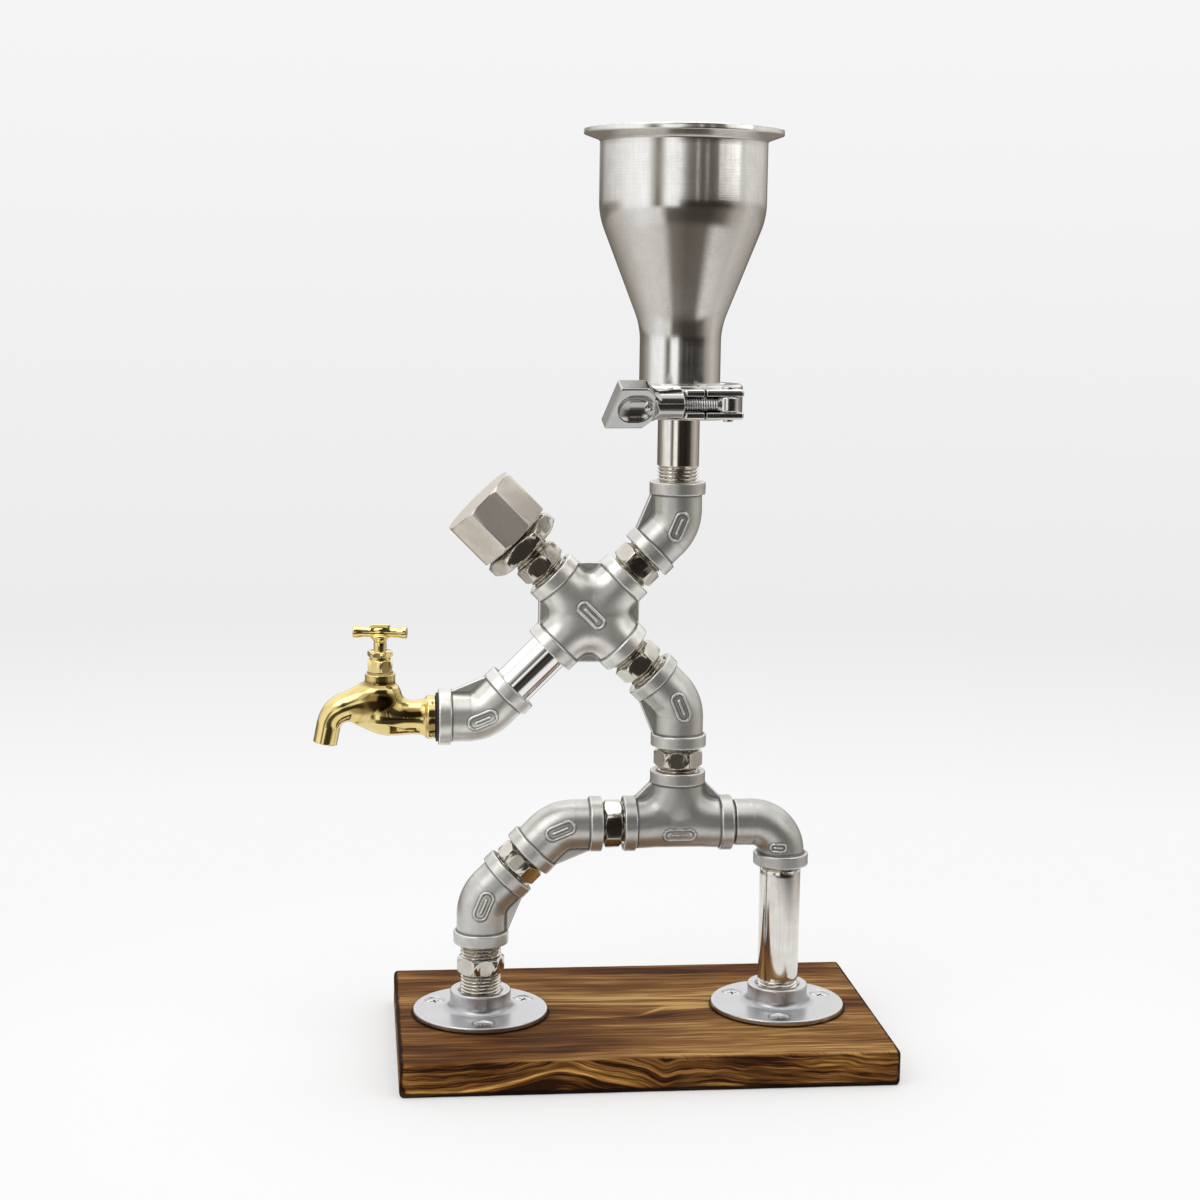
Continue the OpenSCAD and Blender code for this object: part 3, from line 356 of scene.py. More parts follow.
@dataclass(frozen=True)
class Prism:
    """Regular prism with rounded upright edges and chamfered ends, as radius over angle."""

    sides: int
    flats: float
    turn: float
    fillet: float = 0.45

    def angles(self, extra: int = 6) -> Array:
        """Angles of the columns: a few on each flat and a few round each corner.

        Args:
            extra: number of columns inside each flat.

        Returns:
            Angles in radians.
        """
        half = math.pi / self.sides
        near = self._corner_half() * 1.15
        side = np.concatenate([np.linspace(-half + near, half - near, extra + 2),
                               half + near * np.linspace(-0.75, 0.75, 5)])
        return (np.arange(self.sides)[:, None] * 2 * half + side[None]).ravel() + math.radians(self.turn)

    def _centre(self) -> float:
        """Distance of a corner fillet's middle from the axis."""
        return (self.flats / 2 - self.fillet) / math.cos(math.pi / self.sides)

    def _corner_half(self) -> float:
        """Half the angle that a corner fillet takes up, seen from the axis."""
        half = math.pi / self.sides
        return math.atan2(self.fillet * math.sin(half), self._centre() + self.fillet * math.cos(half))

    def radius(self, angle: Array) -> Array:
        """Radius a / cos(t) on the flats and of the fillet's circle round the corners.

        Args:
            angle: angles in radians.

        Returns:
            The radii.
        """
        half = math.pi / self.sides
        t = (angle - math.radians(self.turn) + half) % (2 * half) - half
        off = np.abs(np.abs(t) - half)
        centre = self._centre()
        round_part = centre * np.cos(off) + np.sqrt(
            np.maximum(self.fillet ** 2 - (centre * np.sin(off)) ** 2, 0))
        return np.where(off < self._corner_half(), round_part, self.flats / 2 / np.cos(t))

    def block(self, angle: Array, low: float, high: float, start: float | None = None,
              slope: float = math.tan(math.radians(30))) -> "Rows":
        """Rows of the prism between two heights, cut by a cone at each end.

        The cone's radius at a distance h from an end is start + h / slope.

        Args:
            angle: angles of the columns.
            low: height of the first end.
            high: height of the last end.
            start: the cones' radius on the end faces, by default a little less than to the flats.
            slope: rise of the cones for one unit of radius.

        Returns:
            The rows.
        """
        start = self.flats / 2 * 0.97 if start is None else start
        full = self.radius(angle)
        lead = (full.max() - start) * slope
        rise = np.linspace(0, 1, 9) * lead
        height = np.concatenate([low + rise, high - rise[::-1]])
        end = np.minimum(height - low, high - height)[:, None]
        cone = start + end / slope
        gap = 0.12
        blend = np.clip(0.5 + 0.5 * (cone - full) / gap, 0, 1)
        radius = cone * (1 - blend) + full * blend - gap * blend * (1 - blend)
        radius[[0, -1]] = start
        return Rows(height, radius)


@dataclass
class Rows:
    """Heights and radii (rows x columns) of a stretch of a radial surface."""

    height: Array
    radius: Array

    @staticmethod
    def rings(angle: Array, *rows: Place) -> "Rows":
        """Plain rows, each a height and a radius."""
        height, radius = np.array(rows, float).T
        return Rows(height, np.repeat(radius[:, None], len(angle), axis=1))

    @staticmethod
    def thread(low: float, high: float, crest: float, depth: float, pitch: float, angle: Array) -> "Rows":
        """Rows of a V thread: crest minus depth times a triangle wave of height and angle.

        The wave's phase is height / pitch - angle / one turn, so its ridge is a helix, and
        its tip and root are flattened.

        Args:
            low: height where the thread starts.
            high: height where it ends.
            crest: radius over the ridge.
            depth: depth of the groove.
            pitch: rise of one turn.
            angle: angles of the columns.

        Returns:
            The rows.
        """
        count = max(int((high - low) / pitch * 12), 6)
        height = np.linspace(low, high, count)
        phase = height[:, None] / pitch - angle[None] / (2 * math.pi)
        wave = np.clip(np.abs(phase % 1 - 0.5) * 2.5 - 0.12, 0, 1)
        return Rows(height, crest - depth * wave)

    def __add__(self, other: "Rows") -> "Rows":
        """This stretch followed by another one."""
        return Rows(np.concatenate([self.height, other.height]), np.concatenate([self.radius, other.radius]))


# Castings: zero level of a distance field


def soft_min(blend: float, *parts: Array) -> Array:
    """Smooth least of some distances: b + (a - b) h - k h (1 - h) with h across the blend k.

    Args:
        blend: width of the blend.
        parts: the distances.

    Returns:
        The blended distances.
    """
    made = parts[0]
    for part in parts[1:]:
        h = np.clip(0.5 + 0.5 * (part - made) / blend, 0, 1)
        made = part + (made - part) * h - blend * h * (1 - h)
    return made


def soft_max(blend: float, *parts: Array) -> Array:
    """Smooth greatest of some distances."""
    return -soft_min(blend, *(-p for p in parts))


def pair(a: Array, b: Array, rounding: float) -> Array:
    """Rounded corner between two distances whose inside is negative."""
    return np.minimum(np.maximum(a, b) + rounding, 0) + np.hypot(
        np.maximum(a + rounding, 0), np.maximum(b + rounding, 0)) - rounding


def rod(p: Array, start: Sequence[float], end: Sequence[float], radius: float, rounding: float) -> Array:
    """Distance to a round bar with rounded rims.

    Args:
        p: points, ... x 3.
        start: middle of the first end.
        end: middle of the last end.
        radius: radius of the bar.
        rounding: rounding of its rims.

    Returns:
        Distances, negative inside.
    """
    a, b = np.asarray(start, np.float32), np.asarray(end, np.float32)
    size = float(np.linalg.norm(b - a))
    along = (p - a) @ ((b - a) / size)
    across = np.sqrt(np.maximum(((p - a) ** 2).sum(-1) - along ** 2, 0))
    return pair(across - radius, np.abs(along - size / 2) - size / 2, rounding)


def smooth_step(share: Array) -> Array:
    """Soft step 3 t^2 - 2 t^3 of shares from 0 to 1."""
    return share * share * (3 - 2 * share)


def arc(p: Array, centre: Sequence[float], radius: float, middle: float, half: float,
        thick: float | Array) -> Array:
    """Distance to a bent bar: part of a ring in the upright plane, with round ends.

    Args:
        p: points, ... x 3.
        centre: x and z of the ring's middle.
        radius: radius of its centre line.
        middle: heading of the arc's middle, in degrees.
        half: half the arc's angle, in degrees.
        thick: radius of the bar.

    Returns:
        Distances, negative inside.
    """
    x, y, z = p[..., 0] - centre[0], p[..., 1], p[..., 2] - centre[1]
    turn = np.arctan2(z, x) - math.radians(middle)
    turn = np.abs((turn + math.pi) % (2 * math.pi) - math.pi)
    over = np.maximum(turn - math.radians(half), 0)
    ring = np.hypot(x, z)
    flat = np.where(over > 0, np.sqrt(np.maximum(
        ring ** 2 + radius ** 2 - 2 * ring * radius * np.cos(over), 0)), np.abs(ring - radius))
    return np.hypot(flat, y) - thick


def eased(value: Array, knots: Sequence[Place], width: float) -> Array:
    """Line through knots whose corners are eased: its running mean under a bell of a given width.

    Args:
        value: places along the line.
        knots: place and height of each corner.
        width: width of the bell.

    Returns:
        The heights.
    """
    step = 0.05
    place, height = np.asarray(knots, float).T
    fine = np.arange(place[0] - width, place[-1] + width, step)
    bell = np.hanning(int(width / step) | 1)
    line = np.pad(np.interp(fine, place, height), len(bell) // 2, mode="edge")
    return np.interp(value, fine, np.convolve(line, bell / bell.sum(), "valid")).astype(np.float32)


def block(p: Array, low: Sequence[float], high: Sequence[float], rounding: float) -> Array:
    """Distance to a rounded box between two corners.

    Args:
        p: points, ... x 3.
        low: lowest corner.
        high: highest corner.
        rounding: rounding of its edges.

    Returns:
        Distances, negative inside.
    """
    middle = (np.asarray(low) + np.asarray(high)) / 2
    half = (np.asarray(high) - np.asarray(low)) / 2
    q = np.abs(p - middle.astype(np.float32)) - half.astype(np.float32) + rounding
    return np.minimum(q.max(-1), 0) + np.sqrt((np.maximum(q, 0) ** 2).sum(-1)) - rounding


def skin(shape: Field, low: Sequence[float], high: Sequence[float], step: float) -> Surface:
    """Skin of a solid given as a distance field, found on a grid of cells.

    Each cell that the zero level crosses holds one point, the mean of the crossings on its
    edges, and each crossed grid edge joins the four cells round it. The points are then
    moved onto the zero level along the field's slope, which also gives their normals.

    Args:
        shape: the distance field, negative inside.
        low: lowest corner of the grid.
        high: highest corner of the grid.
        step: size of a cell.

    Returns:
        The closed surface with its normals.
    """
    sizes = [int(math.ceil((b - a) / step)) + 1 for a, b in zip(low, high)]
    lines = [np.float32(a) + np.arange(n, dtype=np.float32) * np.float32(step) for a, n in zip(low, sizes)]
    value = shape(np.stack(np.meshgrid(*lines, indexing="ij"), -1)).astype(np.float32)
    value[np.abs(value) < 1e-6] = 1e-6
    cells = tuple(n - 1 for n in sizes)
    total = np.zeros(cells + (3,), np.float32)
    count = np.zeros(cells, np.int8)
    for axis in range(3):
        near = np.take(value, range(sizes[axis] - 1), axis)
        far = np.take(value, range(1, sizes[axis]), axis)
        crossed = (near < 0) != (far < 0)
        share = np.where(crossed, near / np.where(crossed, near - far, 1), 0)
        a, b = (axis + 1) % 3, (axis + 2) % 3
        for i in (0, 1):
            for j in (0, 1):
                cut = [slice(None)] * 3
                cut[a], cut[b] = slice(i, i + cells[a]), slice(j, j + cells[b])
                here = crossed[tuple(cut)]
                count += here
                total[..., axis] += share[tuple(cut)]
                total[..., a] += here * i
                total[..., b] += here * j
    active = count > 0
    number = np.full(cells, -1, np.int64)
    number[active] = np.arange(active.sum())
    points = (np.argwhere(active) + total[active] / count[active][:, None]) * step + np.asarray(low)
    faces = []
    for axis in range(3):
        a, b = (axis + 1) % 3, (axis + 2) % 3
        near = np.moveaxis(value, (axis, a, b), (0, 1, 2))[:-1, 1:-1, 1:-1] < 0
        far = np.moveaxis(value, (axis, a, b), (0, 1, 2))[1:, 1:-1, 1:-1] < 0
        ids = np.moveaxis(number, (axis, a, b), (0, 1, 2))
        quads = np.stack([ids[:, :-1, :-1], ids[:, 1:, :-1], ids[:, 1:, 1:], ids[:, :-1, 1:]], -1)
        faces += [quads[near & ~far], quads[far & ~near][:, ::-1]]
    points = points.astype(np.float32)
    small = np.float32(0.04)
    slope = np.zeros_like(points)
    for turn in range(4):
        for axis in range(3):
            off = np.zeros(3, np.float32)
            off[axis] = small
            slope[:, axis] = (shape(points + off) - shape(points - off)) / (2 * small)
        steep = np.maximum((slope ** 2).sum(1, keepdims=True), 0.05)
        if turn < 3:
            points = points - np.clip(shape(points)[:, None] / steep, -step / 2, step / 2) * slope
    normals = slope / np.sqrt(steep)
    return closed_up(points.astype(float), np.concatenate(faces), points.astype(float), normals.astype(float))


# Shader building


@dataclass(frozen=True)
class Graph:
    """A shader tree that nodes are added to."""

    tree: bpy.types.NodeTree

    def node(self, kind: str, inputs: dict | None = None, **settings: object) -> bpy.types.Node:
        """Adds a shader node.

        Args:
            kind: the node's type name after ShaderNode.
            inputs: socket name or number to what feeds it.
            settings: properties of the node.

        Returns:
            The node.
        """
        made = self.tree.nodes.new("ShaderNode" + kind)
        for key, value in settings.items():
            setattr(made, key, value)
        self.feed(made, inputs or {})
        return made

    def feed(self, target: bpy.types.Node, inputs: dict) -> None:
        """Links values to a node's sockets, and sets the others to numbers, vectors or colours.

        Args:
            target: the node.
            inputs: socket name or number to what feeds it.
        """
        for key, value in inputs.items():
            socket = target.inputs[key]
            if isinstance(value, Value):
                self.tree.links.new(value.socket, socket)
            else:
                socket.default_value = (*value, 1.0) if isinstance(socket, bpy.types.NodeSocketColor) else value

    def value(self, kind: str, inputs: dict | None = None, output: int | str = 0, **settings: object) -> "Value":
        """Output of a new node."""
        return Value(self, self.node(kind, inputs, **settings).outputs[output])

    def vector(self, *parts: object) -> "Value":
        """Vector of three coordinates."""
        return self.value("CombineXYZ", dict(enumerate(parts)))

    def group(self, tree: bpy.types.NodeTree, inputs: dict) -> dict[str, "Value"]:
        """Outputs of a node group by name."""
        return {out.name: Value(self, out) for out in self.node("Group", inputs, node_tree=tree).outputs}

    def bump(self, height: "Value", strength: float, distance: float) -> "Value":
        """Normal bent by a height in units of distance."""
        return self.value("Bump", {"Height": height, "Strength": strength, "Distance": distance})


@dataclass(frozen=True)
class Value:
    """A node's output that is reckoned with like a number; each step adds a node to its graph."""

    graph: Graph
    socket: Socket

    def maths(self, operation: str, *others: object) -> "Value":
        """Math node of this value and others."""
        return self.graph.value("Math", dict(enumerate((self, *others))), operation=operation)

    def under(self, operation: str, other: object) -> "Value":
        """Math node of another value and this one after it."""
        return self.graph.value("Math", {0: other, 1: self}, operation=operation)

    __add__ = __radd__ = partialmethod(maths, "ADD")
    __sub__ = partialmethod(maths, "SUBTRACT")
    __mul__ = partialmethod(maths, "MULTIPLY")
    __truediv__ = partialmethod(maths, "DIVIDE")
    __rsub__ = partialmethod(under, "SUBTRACT")
    __rtruediv__ = partialmethod(under, "DIVIDE")
    __abs__ = partialmethod(maths, "ABSOLUTE")
    most = partialmethod(maths, "MAXIMUM")
    least = partialmethod(maths, "MINIMUM")

    def clamped(self) -> "Value":
        """This value, kept from 0 to 1."""
        return self.graph.value("Clamp", {0: self})

    def smooth(self, low: float, high: float, to_low: float = 0.0, to_high: float = 1.0) -> "Value":
        """Smooth step from one value at low to another at high."""
        return self.graph.value("MapRange", {"Value": self, "From Min": low, "From Max": high, "To Min": to_low,
                                             "To Max": to_high}, interpolation_type="SMOOTHSTEP")

    def mix(self, a: object, b: object) -> "Value":
        """Colour between two colours, with this value as the share of the second."""
        return self.graph.value("Mix", {0: self, 6: a, 7: b}, 2, data_type="RGBA")

    def ramp(self, stops: Sequence[tuple[float, Colour]]) -> "Value":
        """Colour of a ramp whose first and last stops come first.

        Args:
            stops: places from 0 to 1 with their colours.

        Returns:
            The colour.
        """
        made = self.graph.node("ValToRGB", {0: self})
        for i, (place, colour) in enumerate(stops):
            stop = made.color_ramp.elements[i] if i < 2 else made.color_ramp.elements.new(place)
            stop.position, stop.color = place, (*colour, 1.0)
        return Value(self.graph, made.outputs[0])

    def parts(self) -> list["Value"]:
        """The three coordinates of a vector."""
        return [Value(self.graph, out) for out in self.graph.node("SeparateXYZ", {0: self}).outputs]

    def noise(self, scale: Point, detail: float, roughness: float = 0.58) -> "Value":
        """Noise at this vector, with a scale of its own along each axis."""
        place = self.graph.value("VectorMath", {0: self, 1: scale}, operation="MULTIPLY")
        return self.graph.value("TexNoise", {"Vector": place, "Scale": 1.0, "Detail": detail, "Roughness": roughness})


def bell(a: Value, b: Value, middle: Place, size: Place) -> Value:
    """Bell 1 / (1 + u^2 + v^2) over a plane, with u and v counted in sizes from its middle."""
    u, v = (a - middle[0]) / size[0], (b - middle[1]) / size[1]
    return 1.0 / (u * u + v * v + 1.0)


class Effects:
    """Shared shader effects, each a node group that is built once."""

    def __init__(self) -> None:
        """Builds the groups."""
        self.grain = self._group("blasted_grain", {"Fine": 2.5, "Slow": 0.12}, self._grain)
        self.lines = self._group("tool_lines", {"Round": 6.0, "Drawn": 1.2}, self._lines)
        self.wear_and_light = self._group("edge_wear_and_light", {"Edge": 1.2, "Hollow": 1.5}, self._wear_and_light)

    @staticmethod
    def _group(name: str, inputs: dict[str, float], build: Callable[..., dict[str, Value]]) -> bpy.types.NodeTree:
        """Builds a group of a vector and some numbers.

        Args:
            name: the group's name.
            inputs: names and defaults of the numbers.
            build: gives the named outputs from the graph, the vector and the numbers.

        Returns:
            The group's tree.
        """
        tree = bpy.data.node_groups.new(name, "ShaderNodeTree")
        graph = Graph(tree)
        tree.interface.new_socket("Vector", in_out="INPUT", socket_type="NodeSocketVector")
        for key, default in inputs.items():
            tree.interface.new_socket(key, in_out="INPUT", socket_type="NodeSocketFloat").default_value = default
        start = tree.nodes.new("NodeGroupInput")
        made = build(graph, *(Value(graph, start.outputs[key]) for key in ("Vector", *inputs)))
        for key in made:
            tree.interface.new_socket(key, in_out="OUTPUT", socket_type="NodeSocketFloat")
        graph.feed(tree.nodes.new("NodeGroupOutput"), made)
        return tree

    @staticmethod
    def _grain(graph: Graph, place: Value, fine: Value, slow: Value) -> dict[str, Value]:
        """Fine pebbling and slow mottling of a blasted or cast skin.

        Args:
            graph: the group's graph.
            place: the vector.
            fine: scale of the pebbling.
            slow: scale of the mottling.

        Returns:
            The outputs by name.
        """
        pebble = graph.value("TexNoise", {"Vector": place, "Scale": fine, "Detail": 3.0, "Roughness": 0.65})
        mottle = graph.value("TexNoise", {"Vector": place, "Scale": slow, "Detail": 4.0, "Roughness": 0.6})
        return {"Pebble": pebble, "Mottle": mottle.smooth(0.3, 0.7)}

    @staticmethod
    def _lines(graph: Graph, place: Value, fine: Value, drawn: Value) -> dict[str, Value]:
        """Tool lines round a piece's axis, streaks along it and rays out from it, from local coordinates; the rays
        stand for radial scratches painted as dark dashes of broken reflection.

        Args:
            graph: the group's graph.
            place: the vector.
            fine: scale of the lines.
            drawn: scale of the streaks.

        Returns:
            The outputs by name.
        """
        x, y, z = place.parts()
        swerve = place.noise((0.05, 0.05, 0.05), 2.0, 0.5)
        lift = z + (x * x + y * y).maths("SQRT") + swerve * 0.6
        rings = graph.value("TexNoise", {"W": lift * fine, "Scale": 1.0, "Detail": 3.0}, noise_dimensions="1D")
        streaks = graph.value("TexNoise", {"Vector": graph.vector(x, y, z * 0.03), "Scale": drawn, "Detail": 4.0,
                                           "Roughness": 0.6})
        way = graph.value("VectorMath", {0: graph.vector(x, y, 0.0)}, operation="NORMALIZE")
        rays = graph.value("TexNoise", {"Vector": way, "Scale": 16.0, "Detail": 2.0})
        return {"Rings": rings, "Streaks": streaks.smooth(0.35, 0.65), "Rays": rays.smooth(0.50, 0.60)}

    @staticmethod
    def _wear_and_light(graph: Graph, place: Value, edge: Value, hollow: Value) -> dict[str, Value]:
        """Masks from the mesh's bend: rubbed outer edges, partly wear and partly a painted highlight on rims, and
        painted shade in hollows.

        Args:
            graph: the group's graph.
            place: the vector.
            edge: gain of the rubbed edges and their painted highlight.
            hollow: gain of the painted shade in hollows.

        Returns:
            The outputs by name.
        """
        bend = graph.value("Attribute", output="Fac", attribute_name="bend")
        patchy = graph.value("TexNoise", {"Vector": place, "Scale": 0.7, "Detail": 3.0})
        rubbed_and_highlight = (bend * edge).clamped() * patchy.smooth(0.2, 0.6, 0.55, 1.0)
        return {"Rubbed": rubbed_and_highlight, "Dull": (bend * -1.0 * hollow).clamped()}


def new_material(name: str) -> tuple[bpy.types.Material, Graph, bpy.types.Node]:
    """Empty material with a Principled BSDF.

    Args:
        name: the material's name.

    Returns:
        The material, its graph and the shader node.
    """
    made = bpy.data.materials.new(name)
    made.use_nodes = True
    return made, Graph(made.node_tree), made.node_tree.nodes["Principled BSDF"]


@dataclass(frozen=True)
class Metal:
    """A metal finish: a colour, a darker colour for mottle, streaks and rings and for painted shade and painted dark
    reflections, a bright colour for rubbed edges that also paints highlights, gloss, grain and tool lines.
    """

    name: str
    colour: Colour
    shade: Colour
    bright: Colour
    roughness: float
    uneven: float = 0.08
    pebble: float = 0.0
    pebble_scale: float = 2.5
    rings: float = 0.0
    ring_scale: float = 6.0
    streaks: float = 0.0
    edge: float = 1.2
    hollow: float = 1.5
    mottle: float = 0.5
    ring_tone: float = 0.0
    rays: float = 0.0
    rays_from: float = 0.0
    metallic: float = 1.0
    painted_reflections: tuple[tuple[Place, Place, float], ...] = ()

    def painted_light_copy(self, name: str, share: float) -> "Metal":
        """The same finish under a name of its own, with its colour times a share: a lighter or darker copy that paints
        in how much light falls where it is used.
        """
        return replace(self, name=name, colour=tuple(c * share for c in self.colour))

    def material(self, effects: Effects) -> bpy.types.Material:
        """Builds the finish on the piece's local coordinates in mm.

        Args:
            effects: the shared node groups.

        Returns:
            The material.
        """
        made, graph, shader = new_material(self.name)
        local = graph.value("Attribute", output="Vector", attribute_name="local")
        x, _, z = local.parts()
        grain = graph.group(effects.grain, {"Vector": local, "Fine": self.pebble_scale})
        lines = graph.group(effects.lines, {"Vector": local, "Round": self.ring_scale})
        wear_and_light = graph.group(effects.wear_and_light, {"Vector": local, "Edge": self.edge, "Hollow": self.hollow})
        mottle, streak, hollow_shade, rubbed_and_highlight = grain["Mottle"], lines["Streaks"], wear_and_light["Dull"], wear_and_light["Rubbed"]
        tone = (mottle * self.mottle).mix(self.colour, self.shade)
        shaded = [streak * self.streaks]
        if self.ring_tone:
            shaded.append(lines["Rings"].smooth(0.42, 0.66, 0.0, self.ring_tone))
        if self.rays:
            # Dark radial dashes on the rim's top: radial scratches, painted as dark broken reflections.
            shaded.append(z.smooth(self.rays_from, self.rays_from + 0.3, 0.0, self.rays) * lines["Rays"])
        # Each of these patches is a painted dark reflection.
        shaded += [bell(x, z, middle, size).smooth(0.35, 0.75, 0.0, share) for middle, size, share in self.painted_reflections]
        # Mottle, streaks and rings are the metal's own tone; the hollow mix below is painted shade in creases and
        # recesses, with a duller gloss.
        for share in (*shaded, hollow_shade * 0.8):
            tone = share.mix(tone, self.shade)
        # Outer edges turn bright: partly rubbed wear, partly a painted highlight on the rims.
        tone = (rubbed_and_highlight * 0.7).mix(tone, self.bright)
        gloss = mottle * self.uneven + (self.roughness - self.uneven / 2) + streak * (self.streaks * 0.15)
        gloss = (gloss + hollow_shade * 0.15 + rubbed_and_highlight * (-0.35 * self.roughness)).clamped()
        graph.feed(shader, {"Base Color": tone, "Roughness": gloss, "Metallic": self.metallic})
        if self.pebble or self.rings:
            height = grain["Pebble"] * self.pebble + lines["Rings"] * self.rings
            graph.feed(shader, {"Normal": graph.bump(height, 1.0, MM)})
        return made


@dataclass(frozen=True)
class Seal:
    """A matt rubber or fibre finish with a faint moulded grain."""

    name: str
    colour: Colour
    speck: Colour
    roughness: float

    def material(self, effects: Effects) -> bpy.types.Material:
        """Builds the finish on Object coordinates.

        Args:
            effects: the shared node groups.

        Returns:
            The material.
        """
        made, graph, shader = new_material(self.name)
        place = graph.value("TexCoord", output="Object")
        grain = graph.group(effects.grain, {"Vector": place, "Fine": 1500.0, "Slow": 150.0})
        graph.feed(shader, {"Base Color": grain["Pebble"].mix(self.colour, self.speck),
                            "Roughness": grain["Mottle"] * 0.15 + self.roughness,
                            "Normal": graph.bump(grain["Pebble"], 0.4, 0.1 * MM)})
        return made


@dataclass(frozen=True)
class ToastedPine:
    """Toasted pine: gold fibres on top, an arch and rings on the front, burnt edges, and a painted shadow ring round
    the feet.
    """

    half: Point = (125.0, 75.0, 9.0)
    swirl: Place = (4.0, -13.0)
    feet: Place = (-81.3, 75.698)
    foot_r: float = 35.0
    dark: Colour = (0.052, 0.020, 0.008)
    mid: Colour = (0.138, 0.055, 0.017)
    light: Colour = (0.262, 0.121, 0.038)
    gold: Colour = (0.580, 0.355, 0.130)
    side_dark: Colour = (0.024, 0.0075, 0.0028)
    side_mid: Colour = (0.155, 0.062, 0.0155)
    side_light: Colour = (0.320, 0.158, 0.042)
    side_gold: Colour = (0.680, 0.375, 0.105)
    burnt: Colour = (0.0060, 0.0035, 0.0025)

    def material(self, effects: Effects) -> bpy.types.Material:
        """Builds the wood on the piece's local coordinates in mm, with the grain along X.

        On top the fibre's place is y, pushed aside by a bell at the swirl, so that the streaks
        part round it. It is read by noise that is long along X.

        Args:
            effects: the shared node groups, which the wood doesn't need.

        Returns:
            The material.
        """
        made, graph, shader = new_material("toasted_pine")
        place = graph.value("Attribute", output="Vector", attribute_name="local")
        x, y, z = place.parts()
        over = place.noise((0.014, 0.020, 0.05), 2.0) * 9.0 + y + bell(x, y, self.swirl, (20.0, 11.0)) * 11.0
        moved = graph.vector(x, over, z)
        hair = place.noise((0.05, 1.6, 1.6), 3.0)
        # The top is painted lighter towards its front edge: a painted highlight where the rounded edge catches the
        # light.
        tone = y.smooth(-40.0, -75.0) * 0.26 + 0.40
        for scale, detail, weight in (((0.006, 0.030, 0.02), 2.0, 1.7), ((0.007, 0.10, 0.02), 3.0, 1.0),
                                      ((0.016, 0.34, 0.10), 4.0, 1.2), ((0.04, 1.1, 0.30), 2.0, 0.9)):
            tone = tone + moved.noise(scale, detail) * weight - weight / 2
        for middle, size, weight in (((-119.0, -4.0), (11.0, 24.0), 0.22), ((-60.0, -48.0), (45.0, 13.0), -0.12),
                                     (self.swirl, (15.0, 4.0), -0.40), ((-14.0, -28.0), (15.0, 5.0), 0.24)):
            tone = tone + bell(x, y, middle, size) * weight
        for start, slope, step, width, ends, weight in (
                (17.2, -0.067, 0.0, 1.6, (-50.0, 62.0), 0.62), (8.3, -0.050, 0.0, 1.5, (-62.0, 58.0), 0.56),
                (-11.6, 0.03, 11.5, 1.7, (-45.0, 62.0), 0.56), (31.0, -0.05, 0.0, 1.8, (88.0, 126.0), 0.40),
                (22.0, -0.06, 0.0, 1.5, (96.0, 126.0), 0.34)):
            tone = tone + self._streak(x, y - x * slope - start, step, width, ends) * weight
        top = tone.ramp([(0.0, self.dark), (1.0, self.gold), (0.34, self.mid), (0.62, self.light)])
        side = self._side(place).ramp([(0.0, self.side_dark), (1.0, self.side_gold),
                                       (0.40, self.side_mid), (0.70, self.side_light)])
        upright = abs(y).smooth(73.6, 74.7).most(abs(x).smooth(123.8, 124.8))
        # The burnt edges are the wood's own colour; the ring round the feet in the same mask is painted shadow.
        wood = self._char_and_foot_shadow(place).mix(upright.mix(top, side), self.burnt)
        graph.feed(shader, {"Base Color": wood, "Roughness": hair * 0.25 + 0.50, "Specular IOR Level": 0.03,
                            "Normal": graph.bump((tone + hair) * 0.10, 0.7, MM)})
        return made

    @staticmethod
    def _streak(x: Value, off: Value, step: float, width: float, ends: Place) -> Value:
        """Thin line where off is zero, raised by step round x = 8, as a bell of its width that ends softly.

        Args:
            x: place along the grain.
            off: distance from the line.
            step: height of the rise.
            width: width of the bell.
            ends: where it starts and stops along the grain.

        Returns:
            Its strength from 0 to 1.
        """
        if step:
            off = off - x.smooth(-2.0, 18.0, 0.0, step)
        off, soft = off / width, 12.0
        line = 1.0 / (off * off + 1.0) * x.smooth(ends[0] - soft, ends[0] + soft)
        return line * x.smooth(ends[1] + soft, ends[1] - soft)

    @staticmethod
    def _side(place: Value) -> Value:
        """Gold share on the upright faces.

        An arch lies at z - 13 b((x + 47) / 24), b(u) = 1 / (1 + u^2), with a gold line along it and dark wood
        with a gold heart inside it. The rings outside follow it and fall off to the right.

        Args:
            place: local coordinates in mm.

        Returns:
            The share.
        """
        x, y, z = place.parts()
        front, deep = -75.0, 400.0
        wander = place.noise((0.022, 0.02, 0.05), 2.0)
        arch = bell(x, y, (-47.0, front), (24.0, deep)) * -13.0 + z + wander * 4.0
        ring = arch + wander * 5.0 + (x - 10.0).most(0.0) * 0.07 + bell(x, y, (5.0, front), (9.0, deep)) * 4.5
        rings = place.graph.vector(x, y, ring + place.noise((0.06, 0.02, 0.12), 1.0) * 3.0)
        gold = x.smooth(10.0, 60.0) * -0.05 - 0.10
        for scale, detail, weight in (((0.010, 0.02, 0.18), 2.0, 1.4), ((0.020, 0.06, 0.62), 3.0, 2.1),
                                      ((0.06, 0.3, 1.8), 2.0, 1.1)):
            gold = gold + rings.noise(scale, detail) * weight + (0.16 - weight / 2)
        off = (arch - 2.4) / 0.8
        line = 0.42 / (off * off + 1.0) - arch.smooth(2.2, 0.6, 0.0, 0.30)
        gold = gold + line * x.smooth(0.0, -16.0)
        for middle, size, weight in (((-40.0, 8.0), (9.0, 6.0), 0.42), ((-62.0, 3.0), (10.0, 4.0), -0.36),
                                     ((-49.0, 18.0), (13.0, 2.6), -0.45), ((60.0, 17.0), (30.0, 2.0), -0.30)):
            gold = gold + bell(x, z, middle, size) * weight
        return gold

